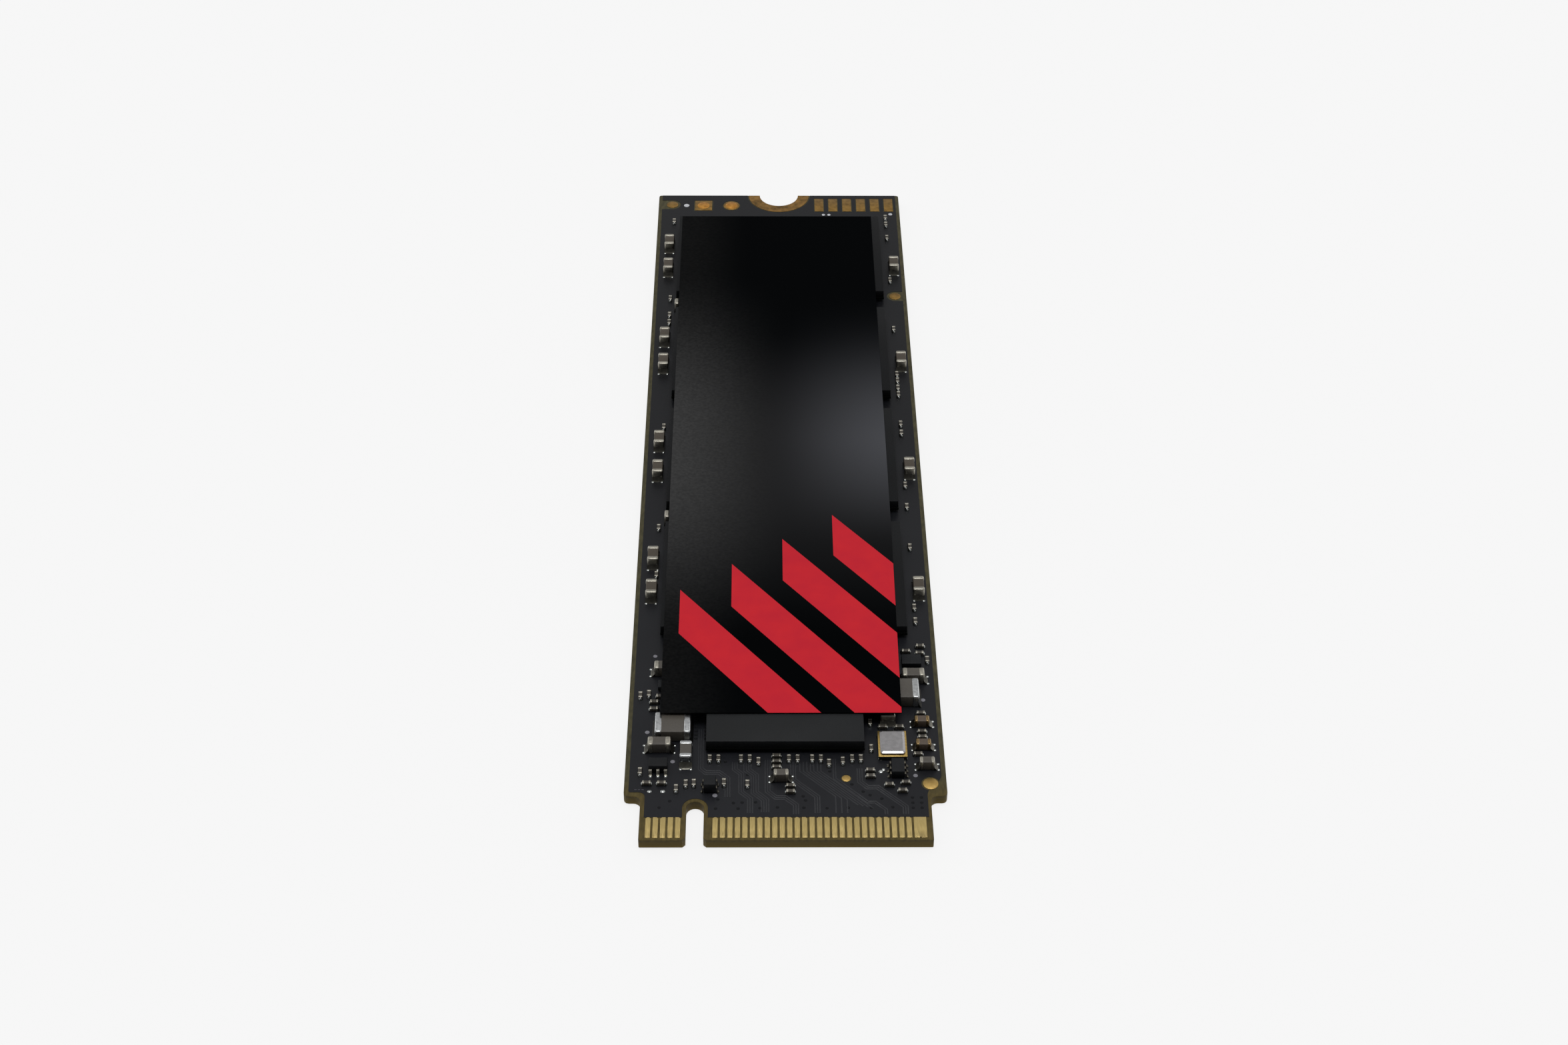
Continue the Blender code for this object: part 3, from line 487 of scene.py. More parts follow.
# %% The core's outline
TONGUE = HALF_WIDTH - 1.15
SHOULDER = FRONT + 4.0
KEY_X = -6.125
KEY_HALF = 0.6
KEY_LEFT, KEY_RIGHT = KEY_X - KEY_HALF, KEY_X + KEY_HALF
KEY_END = FRONT + 3.5
# A round end is two corners rounded by almost half the slot's width each.
KEY_ROUND = KEY_HALF * 0.995
HOLE_RADIUS = 1.75
HOLE_SIDES = 64

CARD_CORNERS = [
    (-TONGUE, FRONT), (KEY_LEFT, FRONT), (KEY_LEFT, KEY_END), (KEY_RIGHT, KEY_END),
    (KEY_RIGHT, FRONT), (TONGUE, FRONT), (TONGUE, SHOULDER), (HALF_WIDTH, SHOULDER),
    (HALF_WIDTH, REAR), (-HALF_WIDTH, REAR), (-HALF_WIDTH, SHOULDER), (-TONGUE, SHOULDER)]
CARD_ROUNDS = [
    (-TONGUE, FRONT, 0.08, 2), (TONGUE, FRONT, 0.08, 2),
    (KEY_LEFT, FRONT, 0.2, 1), (KEY_RIGHT, FRONT, 0.2, 1),
    (KEY_LEFT, KEY_END, KEY_ROUND, 12), (KEY_RIGHT, KEY_END, KEY_ROUND, 12),
    (TONGUE, SHOULDER, 0.5, 6), (-TONGUE, SHOULDER, 0.5, 6),
    (HALF_WIDTH, SHOULDER, 0.35, 3), (-HALF_WIDTH, SHOULDER, 0.35, 3),
    (HALF_WIDTH, REAR, 0.2, 2), (-HALF_WIDTH, REAR, 0.2, 2)]

# %% The core itself
core = plate(CARD_CORNERS, LAMINATE_LOW, LAMINATE_TOP, CARD_ROUNDS)
core = carve(core, disc(HOLE_RADIUS, CUTTER_HEIGHT, (0.0, REAR, SEAT / 2), HOLE_SIDES))


def is_rim(edge):
    """Whether an edge lies between a flat face and an upright one."""
    if len(edge.link_faces) != 2:
        return False
    first, second = edge.link_faces
    return abs(first.normal.z - second.normal.z) > 0.9


rims = [edge for edge in core.edges if is_rim(edge)]
rim_count = len(rims)
bevel(core, rims, 0.02, 1)
make_piece("laminate_core", core, [LAMINATE], replaces=["circuit_board"])
print("core made with", rim_count, "softened rim edges")

# %% [markdown]
# ## The solder mask
#
# The lacquer is printed on both faces and stops short of the edges, so a strip of bare
# laminate shows all round, wider at the shoulders and round the key. It also leaves
# every pad open. A painted texture could fake that, but a real thin sheet with holes
# gives the small step at each opening that the light finds.

# %% The outline of the mask
MASK_THICKNESS = 0.022
MASK_TOP = LAMINATE_TOP + MASK_THICKNESS
MASK_SIDE = HALF_WIDTH - 0.32
MASK_REAR = REAR - 0.03
MASK_LEFT_TONGUE = TONGUE - 0.30
MASK_RIGHT_TONGUE = TONGUE - 0.22
LEFT_STEP = -35.62
RIGHT_STEP = -35.55
RIGHT_STEP_OUTSIDE = -34.35
KEY_MARGIN = 0.27
AROUND_KEY = KEY_HALF + KEY_MARGIN
CONTACT_SETBACK = 0.20
CONTACT_LENGTH = 1.86
CONTACT_REAR = FRONT + CONTACT_SETBACK + CONTACT_LENGTH

MASK_CORNERS = [
    (-MASK_LEFT_TONGUE, CONTACT_REAR), (KEY_X - AROUND_KEY, CONTACT_REAR),
    (KEY_X - AROUND_KEY, KEY_END + KEY_MARGIN), (KEY_X + AROUND_KEY, KEY_END + KEY_MARGIN),
    (KEY_X + AROUND_KEY, CONTACT_REAR), (MASK_RIGHT_TONGUE, CONTACT_REAR),
    (MASK_RIGHT_TONGUE, RIGHT_STEP), (MASK_SIDE, RIGHT_STEP_OUTSIDE),
    (MASK_SIDE, MASK_REAR), (-MASK_SIDE, MASK_REAR), (-MASK_SIDE, LEFT_STEP),
    (-MASK_LEFT_TONGUE, LEFT_STEP)]
MASK_ROUNDS = [
    (KEY_X - AROUND_KEY, KEY_END + KEY_MARGIN, AROUND_KEY * 0.99, 12),
    (KEY_X + AROUND_KEY, KEY_END + KEY_MARGIN, AROUND_KEY * 0.99, 12),
    (-MASK_LEFT_TONGUE, LEFT_STEP, 0.45, 6), (-MASK_SIDE, LEFT_STEP, 0.15, 3),
    (MASK_RIGHT_TONGUE, RIGHT_STEP, 0.4, 6), (MASK_SIDE, RIGHT_STEP_OUTSIDE, 0.4, 5)]

# %% Pads and their openings in the upper mask
# Round pads: where they are, their radius and that of the opening round them
BRONZE_PADS = [
    (-9.75, 38.40, 0.525, 0.75), (-4.35, 38.25, 0.725, 0.80), (10.00, 23.65, 0.50, 0.70)]
GOLD_PADS = [(4.15, -34.35, 0.30, 0.36), (9.90, -34.85, 0.525, 0.63)]
# Square openings: where they are, their width and their length
BOX_OPENINGS = [
    (-10.50, 38.40, 1.5, 1.5), (-6.90, 38.25, 1.72, 1.76), (10.60, 23.65, 1.2, 1.4)]
PROGRAM_PADS = [(HALF_WIDTH - 0.98 - 1.27 * number, REAR - 1.65) for number in range(6)]
RING_OPENING = 2.87
PAD_SIDES = 40

# %% The two sheets of mask
upper = plate(MASK_CORNERS, LAMINATE_TOP, MASK_TOP, MASK_ROUNDS)
cutter = bmesh.new()
for x, y, _, opening in BRONZE_PADS + GOLD_PADS:
    add_to(cutter, disc(opening, CUTTER_HEIGHT, (x, y, LAMINATE_TOP), PAD_SIDES))
upper = carve(upper, cutter)
round_cutter = disc(RING_OPENING, CUTTER_HEIGHT, (0.0, REAR, LAMINATE_TOP), HOLE_SIDES)
upper = carve(upper, round_cutter)
for x, y, width, length in BOX_OPENINGS:
    upper = carve(upper, softened_block((width, length, CUTTER_HEIGHT), (x, y, LAMINATE_TOP)))
cutter = bmesh.new()
for x, y in PROGRAM_PADS:
    add_to(cutter, softened_block((0.92, 2.22, CUTTER_HEIGHT), (x, y, LAMINATE_TOP)))
upper = carve(upper, cutter)
make_piece("solder_mask_upper", upper, [MASK])

lower = plate(MASK_CORNERS, LAMINATE_LOW - MASK_THICKNESS, LAMINATE_LOW, MASK_ROUNDS)
lower = carve(lower, disc(RING_OPENING, CUTTER_HEIGHT, (0.0, REAR, 0.0), HOLE_SIDES))
make_piece("solder_mask_lower", lower, [MASK])
openings = BRONZE_PADS + GOLD_PADS + BOX_OPENINGS + PROGRAM_PADS + [RING_OPENING]
print("mask with", len(openings), "openings")

# %% [markdown]
# ## Contacts and pads
#
# The contacts are 0.35 mm wide on a 0.5 mm pitch, 30 microns proud, and the two at the
# right end are one wide pad with a nick in its front edge. The lower face has its own
# row, shifted by half a pitch. They could be one plate with slots, but separate softened
# blocks are what they are, and their rims then shine one by one.

# %% Edge contacts
CONTACT_WIDTH = 0.35
CONTACT_PITCH = 0.5
CONTACT_FRONT = FRONT + CONTACT_SETBACK
CONTACT_LIMIT = -9.43
KEY_CLEARANCE = 1.1
# The contacts reach this far into the laminate.
SUNK = 0.02


def contact_places(first):
    """Contact centres from the right end leftwards, with the key's gap left out."""
    count = int((first - CONTACT_LIMIT) / CONTACT_PITCH) + 1
    places = [first - CONTACT_PITCH * number for number in range(count)]
    return [x for x in places if abs(x - KEY_X) >= KEY_CLEARANCE]


def contact(x, width, low, high, cut_sides=()):
    """One contact, sunk in the laminate, with the rear corners cut on the sides named."""
    part = softened_block((width, CONTACT_LENGTH, high - low), (0, 0, 0))
    cut = []
    for edge in part.edges:
        first, second = [vert.co for vert in edge.verts]
        at_rear = first.y > 0 and second.y > 0 and first.x == second.x
        if at_rear and math.copysign(1, first.x) in cut_sides:
            cut.append(edge)
    if cut:
        bevel(part, cut, 0.11, 1)
    bevel(part, part.edges[:], 0.010)
    move(part, (x, CONTACT_FRONT + CONTACT_LENGTH / 2, (low + high) / 2))
    return part


# %% The two rows of contacts
upper_places = contact_places(9.25)
lower_places = contact_places(9.0)
# Which rear corners are cut, contact by contact: 1 is the right one and -1 the left one
REAR_CUTS = [(1,), (-1,), (), (1,), (-1, 1), (1,), (), (-1,), (1,), (-1, 1), ()]
shape = bmesh.new()
for number, x in enumerate(upper_places[2:]):
    cuts = REAR_CUTS[number % len(REAR_CUTS)]
    add_to(shape, contact(x, CONTACT_WIDTH, LAMINATE_TOP - SUNK, SEAT, cuts))
nick = disc(0.07, CUTTER_HEIGHT, (8.98, CONTACT_FRONT, SEAT), 16)
wide_contact = contact(9.0, CONTACT_WIDTH + CONTACT_PITCH, LAMINATE_TOP - SUNK, SEAT)
add_to(shape, carve(wide_contact, nick))
make_piece("contacts_upper", shape, [GOLD])

shape = bmesh.new()
for x in lower_places:
    add_to(shape, contact(x, CONTACT_WIDTH, 0.0, LAMINATE_LOW + SUNK))
make_piece("contacts_lower", shape, [GOLD])
print("contacts:", len(upper_places) - 1, "above and", len(lower_places), "below")

# %% Test pads
PAD_THICKNESS = 0.05
PAD_MIDDLE = SEAT - PAD_THICKNESS / 2
PAD_EDGE = 0.012
shape = bmesh.new()
for pads, paint in ((BRONZE_PADS, 0), (GOLD_PADS, 2)):
    for x, y, radius, _ in pads:
        place = (x, y, PAD_MIDDLE)
        add_to(shape, disc(radius, PAD_THICKNESS, place, PAD_SIDES, PAD_EDGE), paint)
square = softened_block((1.55, 1.60, PAD_THICKNESS), (-6.90, 38.25, PAD_MIDDLE), PAD_EDGE)
add_to(shape, square, 0)
# Solder paste was put on the middle of two of them.
for x, y in ((-6.90, 38.25), (-4.35, 38.25)):
    add_to(shape, disc(0.55, 0.012, (x, y, SEAT + 0.003), PAD_SIDES, 0.004), 1)
make_piece("test_pads", shape, [BRONZE, PAD_GOLD, FLAT_GOLD])

shape = bmesh.new()
for x, y in PROGRAM_PADS:
    add_to(shape, softened_block((0.80, 2.10, PAD_THICKNESS), (x, y, PAD_MIDDLE), 0.014))
make_piece("program_pads", shape, [BRONZE])
print("test pads made, with", len(PROGRAM_PADS), "program pads")

# %% [markdown]
# ## The plated half hole
#
# The screw clamps the card here, so copper runs round the hole on both faces and down
# its wall. A profile of that copper, an upright C, is spun through half a turn about the
# hole's axis: one operator makes both rings and the wall, with their thickness.

# %% Screw ring
RING_RADIUS = 2.75
INSIDE_WALL = HOLE_RADIUS + 0.04
RING_DEPTH = 0.01
AXIS_Y = REAR - 0.05
outline = [
    (RING_RADIUS, LAMINATE_TOP - RING_DEPTH), (RING_RADIUS, SEAT), (HOLE_RADIUS, SEAT),
    (HOLE_RADIUS, 0.0), (RING_RADIUS, 0.0), (RING_RADIUS, LAMINATE_LOW + RING_DEPTH),
    (INSIDE_WALL, LAMINATE_LOW + RING_DEPTH), (INSIDE_WALL, LAMINATE_TOP - RING_DEPTH)]
shape = bmesh.new()
section = shape.faces.new([shape.verts.new((-r, AXIS_Y, z)) for r, z in outline])
bmesh.ops.spin(
    shape, geom=[section] + list(section.edges) + list(section.verts), cent=(0, AXIS_Y, 0),
    axis=(0, 0, 1), dvec=(0, 0, 0), angle=math.pi, steps=40, use_duplicate=False)
bmesh.ops.remove_doubles(shape, verts=shape.verts[:], dist=0.0005)
face_outwards(shape)
make_piece("screw_ring", shape, [RING], smooth=30.0)
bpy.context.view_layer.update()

# %% [markdown]
# ## Traces, tented holes and printed dots
#
# Under the mask, fine copper lines fan out from the controller to the contacts: straight
# runs joined by 45 degree runs, so that neighbours never close up. Each is a curve with
# a small round section, pressed flat, which is quicker than drawing ribbons and gives the
# soft swell that lacquer leaves over copper. Holes between layers are small tented rings.

# %% The fan of traces
TRACE_HALF = 0.045
TRACE_FLATNESS = 0.30
TRACE_PITCH = 0.165
# Each bundle: how many traces lie side by side, and the bends of the first one
TRACE_BUNDLES = [
    (3, [(-5.65, -29.6), (-5.65, -33.35), (-5.40, -33.60), (-4.45, -33.60), (-3.80, -34.25),
         (-3.80, -36.10)]),
    (3, [(-3.30, -32.8), (-3.30, -33.40), (-2.85, -33.85), (-2.85, -35.55), (-2.25, -36.15),
         (-2.25, -37.60)]),
    (4, [(-2.35, -32.9), (-2.35, -33.45), (-1.85, -33.95), (-1.85, -35.55), (-1.15, -36.25),
         (-1.15, -37.50)]),
    (3, [(-1.05, -32.6), (-1.05, -35.50), (-0.60, -35.95), (0.05, -35.95), (0.85, -36.75),
         (0.85, -37.70)]),
    (3, [(0.70, -32.8), (0.70, -34.40), (2.30, -36.00), (2.30, -37.60)]),
    (2, [(3.45, -32.5), (3.45, -34.33), (5.60, -36.48), (6.10, -36.48), (6.85, -37.23),
         (6.85, -37.70)]),
    (3, [(5.25, -33.4), (5.25, -34.60), (5.65, -35.00), (6.35, -35.00), (8.25, -36.90),
         (8.25, -37.70)])]
# Single traces of the long slanted run: where each starts and where it stops slanting
SLANT_START = -33.67
for x, low_end in (
        (1.00, -36.05), (1.24, -36.20), (1.48, -36.35), (1.72, -36.85), (1.96, -36.95),
        (2.20, -37.05), (2.44, -37.15)):
    lower_x = x + (SLANT_START - low_end)
    last = [(lower_x, -37.60)] if low_end > -36.5 else []
    TRACE_BUNDLES.append((1, [(x, -32.8), (x, SLANT_START), (lower_x, low_end)] + last))


def beside(path, distance):
    """The path moved sideways to its left by a distance, its corners kept parallel."""
    points = [Vector((x, y)) for x, y in path]
    runs = [(after - before).normalized() for before, after in zip(points, points[1:])]
    sides = [Vector((-run.y, run.x)) for run in runs]
    moved = []
    for number, point in enumerate(points):
        first = sides[max(number - 1, 0)]
        second = sides[min(number, len(sides) - 1)]
        corner = (first + second).normalized()
        moved.append(point + corner * (distance / corner.dot(first)))
    return [(point.x, point.y) for point in moved]


trace_paths = [
    beside(path, -TRACE_PITCH * number)
    for count, path in TRACE_BUNDLES for number in range(count)]
print("traces:", len(trace_paths))

# %% Pressing the traces flat
curve = bpy.data.curves.new("trace_fan", 'CURVE')
curve.dimensions = '3D'
curve.bevel_depth = TRACE_HALF
curve.bevel_resolution = 1
curve.use_fill_caps = True
for path in trace_paths:
    line = curve.splines.new('POLY')
    line.points.add(len(path) - 1)
    for point, (x, y) in zip(line.points, path):
        point.co = (x, y, 0.0, 1.0)
holder = in_scene("trace_fan", curve)
shape = shape_of(holder)
bpy.data.objects.remove(holder, do_unlink=True)
bmesh.ops.remove_doubles(shape, verts=shape.verts[:], dist=0.0001)
stretch(shape, (1.0, 1.0, TRACE_FLATNESS))
move(shape, (0.0, 0.0, MASK_TOP))
face_outwards(shape)
make_piece("trace_fan", shape, [TRACE])

# %% Tented holes
VIA_RADIUS = 0.105


def tented_hole(x, y):
    """A ring of copper under the mask with a dimple where the hole is."""
    part = bmesh.new()
    bmesh.ops.create_cone(
        part, cap_ends=True, segments=12, radius1=VIA_RADIUS * 1.25, radius2=VIA_RADIUS,
        depth=0.02)
    top = [face for face in part.faces if face.normal.z > 0.9]
    bmesh.ops.inset_individual(part, faces=top, thickness=VIA_RADIUS * 0.35, depth=-0.012)
    move(part, (x, y, MASK_TOP + 0.004))
    return part


via_places = [(x, -28.3 - 0.37 * step) for x in (-6.2, -5.55) for step in range(7)]
via_places += [(x, y) for x in (8.6, 9.2) for y in (-36.15, -36.63, -37.10)]
via_places += [
    (-3.54, -36.64), (-2.95, -36.60), (-3.22, -37.15), (-4.74, -37.15), (-2.04, -36.57),
    (-1.74, -37.11), (-0.57, -37.05), (1.22, -37.09), (1.19, -36.02), (1.34, -36.40),
    (2.78, -37.12), (4.22, -37.09), (5.78, -37.10), (7.22, -37.03), (5.27, -35.59),
    (5.73, -35.92), (6.51, -36.25), (4.52, -34.91), (-4.12, -32.76), (3.05, -33.68),
    (-2.59, -34.00), (-8.55, -37.05), (-7.85, -36.45), (-4.60, -36.30)]
shape = bmesh.new()
for x, y in via_places:
    add_to(shape, tented_hole(x, y))
make_piece("tented_holes", shape, [VIA])
print("tented holes:", len(via_places))

# %% Printed dots
INK_THICKNESS = 0.012
INK_HEIGHT = MASK_TOP + 0.005
INK_DOTS = [
    (-8.45, 38.25, 0.25), (4.05, 36.70, 0.15), (4.55, 36.70, 0.15), (10.15, 36.80, 0.18),
    (-9.30, -22.15, 0.15), (-9.60, -29.90, 0.16), (-7.75, -32.75, 0.16),
    (9.80, -26.70, 0.16), (8.90, -34.10, 0.16), (-4.80, -35.95, 0.17)]
shape = bmesh.new()
for x, y, radius in INK_DOTS:
    add_to(shape, disc(radius, INK_THICKNESS, (x, y, INK_HEIGHT), 20), 0)
for x in (-10.20, -9.96, -9.72):
    add_to(shape, softened_block((0.16, 0.05, INK_THICKNESS), (x, -35.4, INK_HEIGHT)), 1)
make_piece("printed_dots", shape, [INK, THIN_INK])
print("printed dots:", len(INK_DOTS))

# %% [markdown]
# ## The finishes of the parts
#
# Ceramic capacitors are brown or grey bodies with tinned ends. The tin is dull where it
# was dipped and mirror-like where solder has flowed on it, so solder gets a finish of
# its own. Moulded chips are black epoxy with a fine matt skin from the mould.

# %% Tin and solder
# Plated tin, reflowed bright: a clear mirror line on each rim, softly mottled between.
TIN = mottled(
    "tinned_end", 0.30, 0.18, "#a2a4a5", "#bcbebe", 4.0, spread=(0.24, 0.40), skin=0.07,
    depth=0.004, metallic=1.0)

# Barrel-plated tin left matt: a warmer grey with broad soft highlights.
MATT_TIN = mottled(
    "matt_tinned_end", 0.40, 0.16, "#908d84", "#a8a498", 4.0, spread=(0.34, 0.48), skin=0.07,
    depth=0.004, metallic=1.0)

# Solder frozen from the melt: the brightest metal here, in small wet-looking drops.
SOLDER = mottled(
    "solder", 0.20, 0.2, "#a6a9a8", "#c4c7c4", skin=0.25, depth=0.012, metallic=1.0)

# Solder painted dark: a painted shade for the dark room that the slope at each end reflects,
# between its bright drops.
SHADED_SOLDER = mottled(
    "solder_painted_dark", 0.34, 0.2, "#3c3a34", "#6a6861", share=(0.3, 0.8), skin=0.25,
    depth=0.006, metallic=1.0)

# A dull brown-grey lead finish, darker than the tin: it hardly shows beside its black body.
DARK_LEAD = mottled(
    "dim_brown_lead", 0.42, 0.1, "#4a463e", "#6e6a60", share=(0.3, 0.8), depth=0.003,
    metallic=1.0)

# Tin over a copper ground that shines through: amber ends.
WARM_TIN = mottled(
    "bronzed_end", 0.30, 0.15, "#776549", "#8e7751", 4.0, spread=(0.24, 0.38), depth=0.003,
    metallic=1.0)
print("finishes:", TIN.name, MATT_TIN.name, SOLDER.name, SHADED_SOLDER.name, WARM_TIN.name)

# %% Ceramic
def ceramic(name, dark, light):
    """A fired ceramic body: fine speckle and a slightly uneven skin."""
    return mottled(
        name, 0.42, 0.06, dark, light, 4.0, spread=(0.36, 0.50), skin=0.12, depth=0.004,
        specular=0.35)


# Fired titanate bodies: matt, from warm grey to brown, as their mixes differ.
GREY_BODY = ceramic("grey_ceramic", "#46423c", "#4e4a44")
BROWN_BODY = ceramic("brown_ceramic", "#3b342a", "#443c32")
AMBER_BODY = ceramic("amber_ceramic", "#4b4036", "#574a3f")
DARK_BODY = ceramic("dark_ceramic", "#38342e", "#46423b")
print("finishes:", GREY_BODY.name, BROWN_BODY.name, AMBER_BODY.name, DARK_BODY.name)

# %% Epoxy
def epoxy(name, dark, light, specular):
    """Black moulding compound, its skin roughened by the mould."""
    material = new_finish(name, 0.55, specular=specular)
    skin = grain(material, 0.05)
    cloud = grain(material, 4.0, 2.0)
    wire(material, tones(material, cloud, dark, light), "Base Color")
    roughness_from(material, skin, 0.48, 0.62)
    bump_from(material, skin, 0.006)
    return material


# Moulded epoxy: black with a grey bloom on top. The memory and the small packages are
# darker, and the substrate below them is a green that is almost black.
MOULD = epoxy("controller_epoxy", "#0f1113", "#151719", 0.20)
MEMORY_MOULD = epoxy("memory_epoxy", "#0c0d0e", "#111214", 0.10)
GLOSS_MOULD = epoxy("small_package_epoxy", "#0d0e10", "#131518", 0.18)
SUBSTRATE = epoxy("package_substrate", "#060807", "#0b0e0b", 0.08)
print("finishes:", MOULD.name, MEMORY_MOULD.name, GLOSS_MOULD.name, SUBSTRATE.name)

# %% [markdown]
# ## Two-terminal parts
#
# Each capacitor is a ceramic bar dipped in tin at both ends and soldered to two pads.
# One function draws the bar, the two rounded ends, the solder that climbs them, painted
# dark as a painted shade, and the bright drops at its foot. The slope starts as a flat grid,
# is lifted to the height that molten metal climbs, and is closed below. The same function
# serves every size, lying along X; a turn of a quarter gives the others.

# %% A slope of solder
def solder_slope(width, height, reach):
    """Solder between a tinned end at x = 0 and its pad, which ends at x = reach."""
    part = bmesh.new()
    bmesh.ops.create_grid(part, x_segments=5, y_segments=6, size=0.5)
    for vert in part.verts:
        out = vert.co.x + 0.5
        side = vert.co.y * 2.0
        lift = height * (1.0 - out) ** 1.2 * (1.0 - 0.25 * abs(side) ** 3)
        rounded = 1.0 - 0.12 * side ** 4 * out
        vert.co = Vector((reach * out * rounded, side * width / 2, lift))
    for vert in extrude(part, (0, 0, 0)):
        vert.co.z = 0.0
    return part


# %% A whole capacitor
# Up to these lengths a part gets one drop at each end, or a drop at each corner.
SMALL_LENGTH = 0.8
MEDIUM_LENGTH = 2.2


def capacitor_shape(length, width, height, terminal, reach, climb):
    """Body 0, tinned ends 1, drops 2 and slopes 3, centred on the origin, on z = 0."""
    shape = bmesh.new()
    inset = min(0.03, 0.06 * width)
    body = (length - 2 * inset, width - 2 * inset, height - 2 * inset)
    add_to(shape, softened_block(body, (0, 0, height / 2), min(0.05, height * 0.1)), 0)
    edge = min(0.12, height * 0.17)
    for side in (-1.0, 1.0):
        place = (side * (length - terminal) / 2, 0.0, height / 2)
        add_to(shape, softened_block((terminal, width, height), place, edge, 3), 1)
        slope = solder_slope(width * 1.04, height * climb, reach)
        turn(slope, 0.0 if side > 0 else math.pi)
        move(slope, (side * (length / 2 - 0.02), 0, 0))
        add_to(shape, slope, 3)
        # Solder gathers in one drop at a small end, and at both corners of a wider pad.
        if length < SMALL_LENGTH:
            add_to(shape, dome(0.15, 0.23, (side * (length / 2 - 0.03), 0.0, 0.0)), 2)
        elif length < MEDIUM_LENGTH and reach > 0.1:
            for across in (-1.0, 1.0):
                corner = (side * (length / 2 + reach * 0.92), across * width * 0.42, -0.01)
                add_to(shape, dome(0.11, 0.065, corner), 2)
    return shape


def stand(shape, x, y, quarter_turn, z):
    """Turn a shape if it lies along Y and put it in its place."""
    if quarter_turn:
        turn(shape, math.pi / 2)
    move(shape, (x, y, z))


# %% Capacitors that are pieces of the measured card
# The bodies that aren't grey, by the start of their names
BODY_BY_NAME = {
    "edge_capacitor": BROWN_BODY, "gap_capacitor": BROWN_BODY, "row_capacitor": DARK_BODY,
    "input_capacitor_upper": AMBER_BODY, "input_capacitor_lower": AMBER_BODY}
# How far the solder reaches out from an end, where it isn't 0.28 mm
PAD_REACH = {
    "output_capacitor_inner": 0.40, "bulk_capacitor_left": 0.20,
    "bulk_capacitor_right": 0.20, "gap_capacitor_1": 0.08, "gap_capacitor_2": 0.08}
SMALL_REACH = 0.09
# How far up an end the solder climbs, as a share of the height
CLIMB = 0.42
SMALL_CLIMB = 0.80
BRIGHT_ENDS = ("bulk_capacitor", "output_capacitor_inner")
# The tinned length of one end as a share of the whole, where it isn't 0.26
TERMINAL_SHARE = {"edge": 0.25, "gap": 0.25, "filter": 0.25, "bulk": 0.20, "output": 0.25}

capacitor_names = sorted(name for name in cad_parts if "capacitor" in name)
for name in capacitor_names:
    low, high = node_box(name)
    size = high - low
    middle = (low + high) / 2
    length, width = max(size.x, size.y), min(size.x, size.y)
    share = TERMINAL_SHARE.get(name.split("_")[0], 0.26)
    small = length < SMALL_LENGTH
    reach = SMALL_REACH if small else PAD_REACH.get(name, 0.28)
    shape = capacitor_shape(
        length, width, size.z, length * share, reach, SMALL_CLIMB if small else CLIMB)
    stand(shape, middle.x, middle.y, size.y > size.x, low.z)
    body = GREY_BODY
    for start, finish in BODY_BY_NAME.items():
        if name.startswith(start):
            body = finish
    ends = WARM_TIN if body is AMBER_BODY else MATT_TIN
    if name.startswith(BRIGHT_ENDS):
        ends = TIN
    # The slopes take solder painted dark, a painted shade.
    make_piece(
        name + "_dressed", shape, [body, ends, SOLDER, SHADED_SOLDER],
        replaces=[name])
print("capacitors dressed:", len(capacitor_names))

# %% [markdown]
# The smallest parts along the strips and at the connector end are fused to the measured
# board, so they have no names of their own. Their places are listed here, in
# millimetres, and each gets the same dressed shape on the same spot.

# %% The smallest parts
X_WAY, Y_WAY = False, True
SMALL_PARTS = {
    "small_parts_left_strip": [
        (-9.50, y, Y_WAY) for y in (-13.35, 4.82, -7.86, 35.36, 23.08, 20.59, 19.49)],
    "small_parts_right_strip": [
        (9.65, y, Y_WAY) for y in (
            -10.16, -17.04, -18.54, 5.22, 4.02, -2.67, -5.32, 18.49, 12.00, 11.10, 10.10,
            9.20, 36.00, 34.86, 32.66, 25.88)],
    "small_parts_front_left": [
        (-10.20, -26.35, Y_WAY), (-9.60, -26.20, Y_WAY), (-8.78, -26.45, X_WAY),
        (-9.20, -27.02, X_WAY), (-9.20, -27.72, X_WAY), (-9.47, -34.92, X_WAY),
        (-8.45, -34.92, X_WAY), (-9.95, -33.82, Y_WAY), (-7.45, -35.42, Y_WAY),
        (-6.80, -34.97, Y_WAY), (-6.25, -34.92, Y_WAY), (-4.20, -34.87, Y_WAY),
        (-2.60, -35.00, Y_WAY), (0.33, -35.17, X_WAY), (0.33, -35.72, X_WAY)],
    "small_parts_front_right": [
        (9.85, -21.24, X_WAY), (9.78, -21.99, X_WAY), (8.80, -21.79, X_WAY),
        (10.30, -22.69, Y_WAY), (9.55, -28.17, X_WAY), (9.55, -29.97, X_WAY),
        (9.55, -30.52, X_WAY), (9.18, -32.17, X_WAY), (6.82, -29.52, X_WAY),
        (7.98, -29.52, X_WAY), (5.95, -29.07, Y_WAY), (5.95, -31.62, Y_WAY),
        (7.08, -35.07, X_WAY), (8.20, -34.87, X_WAY), (7.95, -35.62, X_WAY),
        (5.82, -33.72, X_WAY), (5.82, -34.27, X_WAY)]}
# Length, width, height and tinned length of one of them
SMALL_SIZE = (0.60, 0.30, 0.30, 0.16)
for group, places in SMALL_PARTS.items():
    shape = bmesh.new()
    for x, y, quarter_turn in places:
        part = capacitor_shape(*SMALL_SIZE, SMALL_REACH, SMALL_CLIMB)
        stand(part, x, y, quarter_turn, LAMINATE_TOP + SUNK)
        join(shape, mesh_of(part))
    # The slopes take solder painted dark, a painted shade.
    make_piece(
        group, shape, [DARK_BODY, MATT_TIN, SOLDER, SHADED_SOLDER])
print("smallest parts:", sum(len(places) for places in SMALL_PARTS.values()))

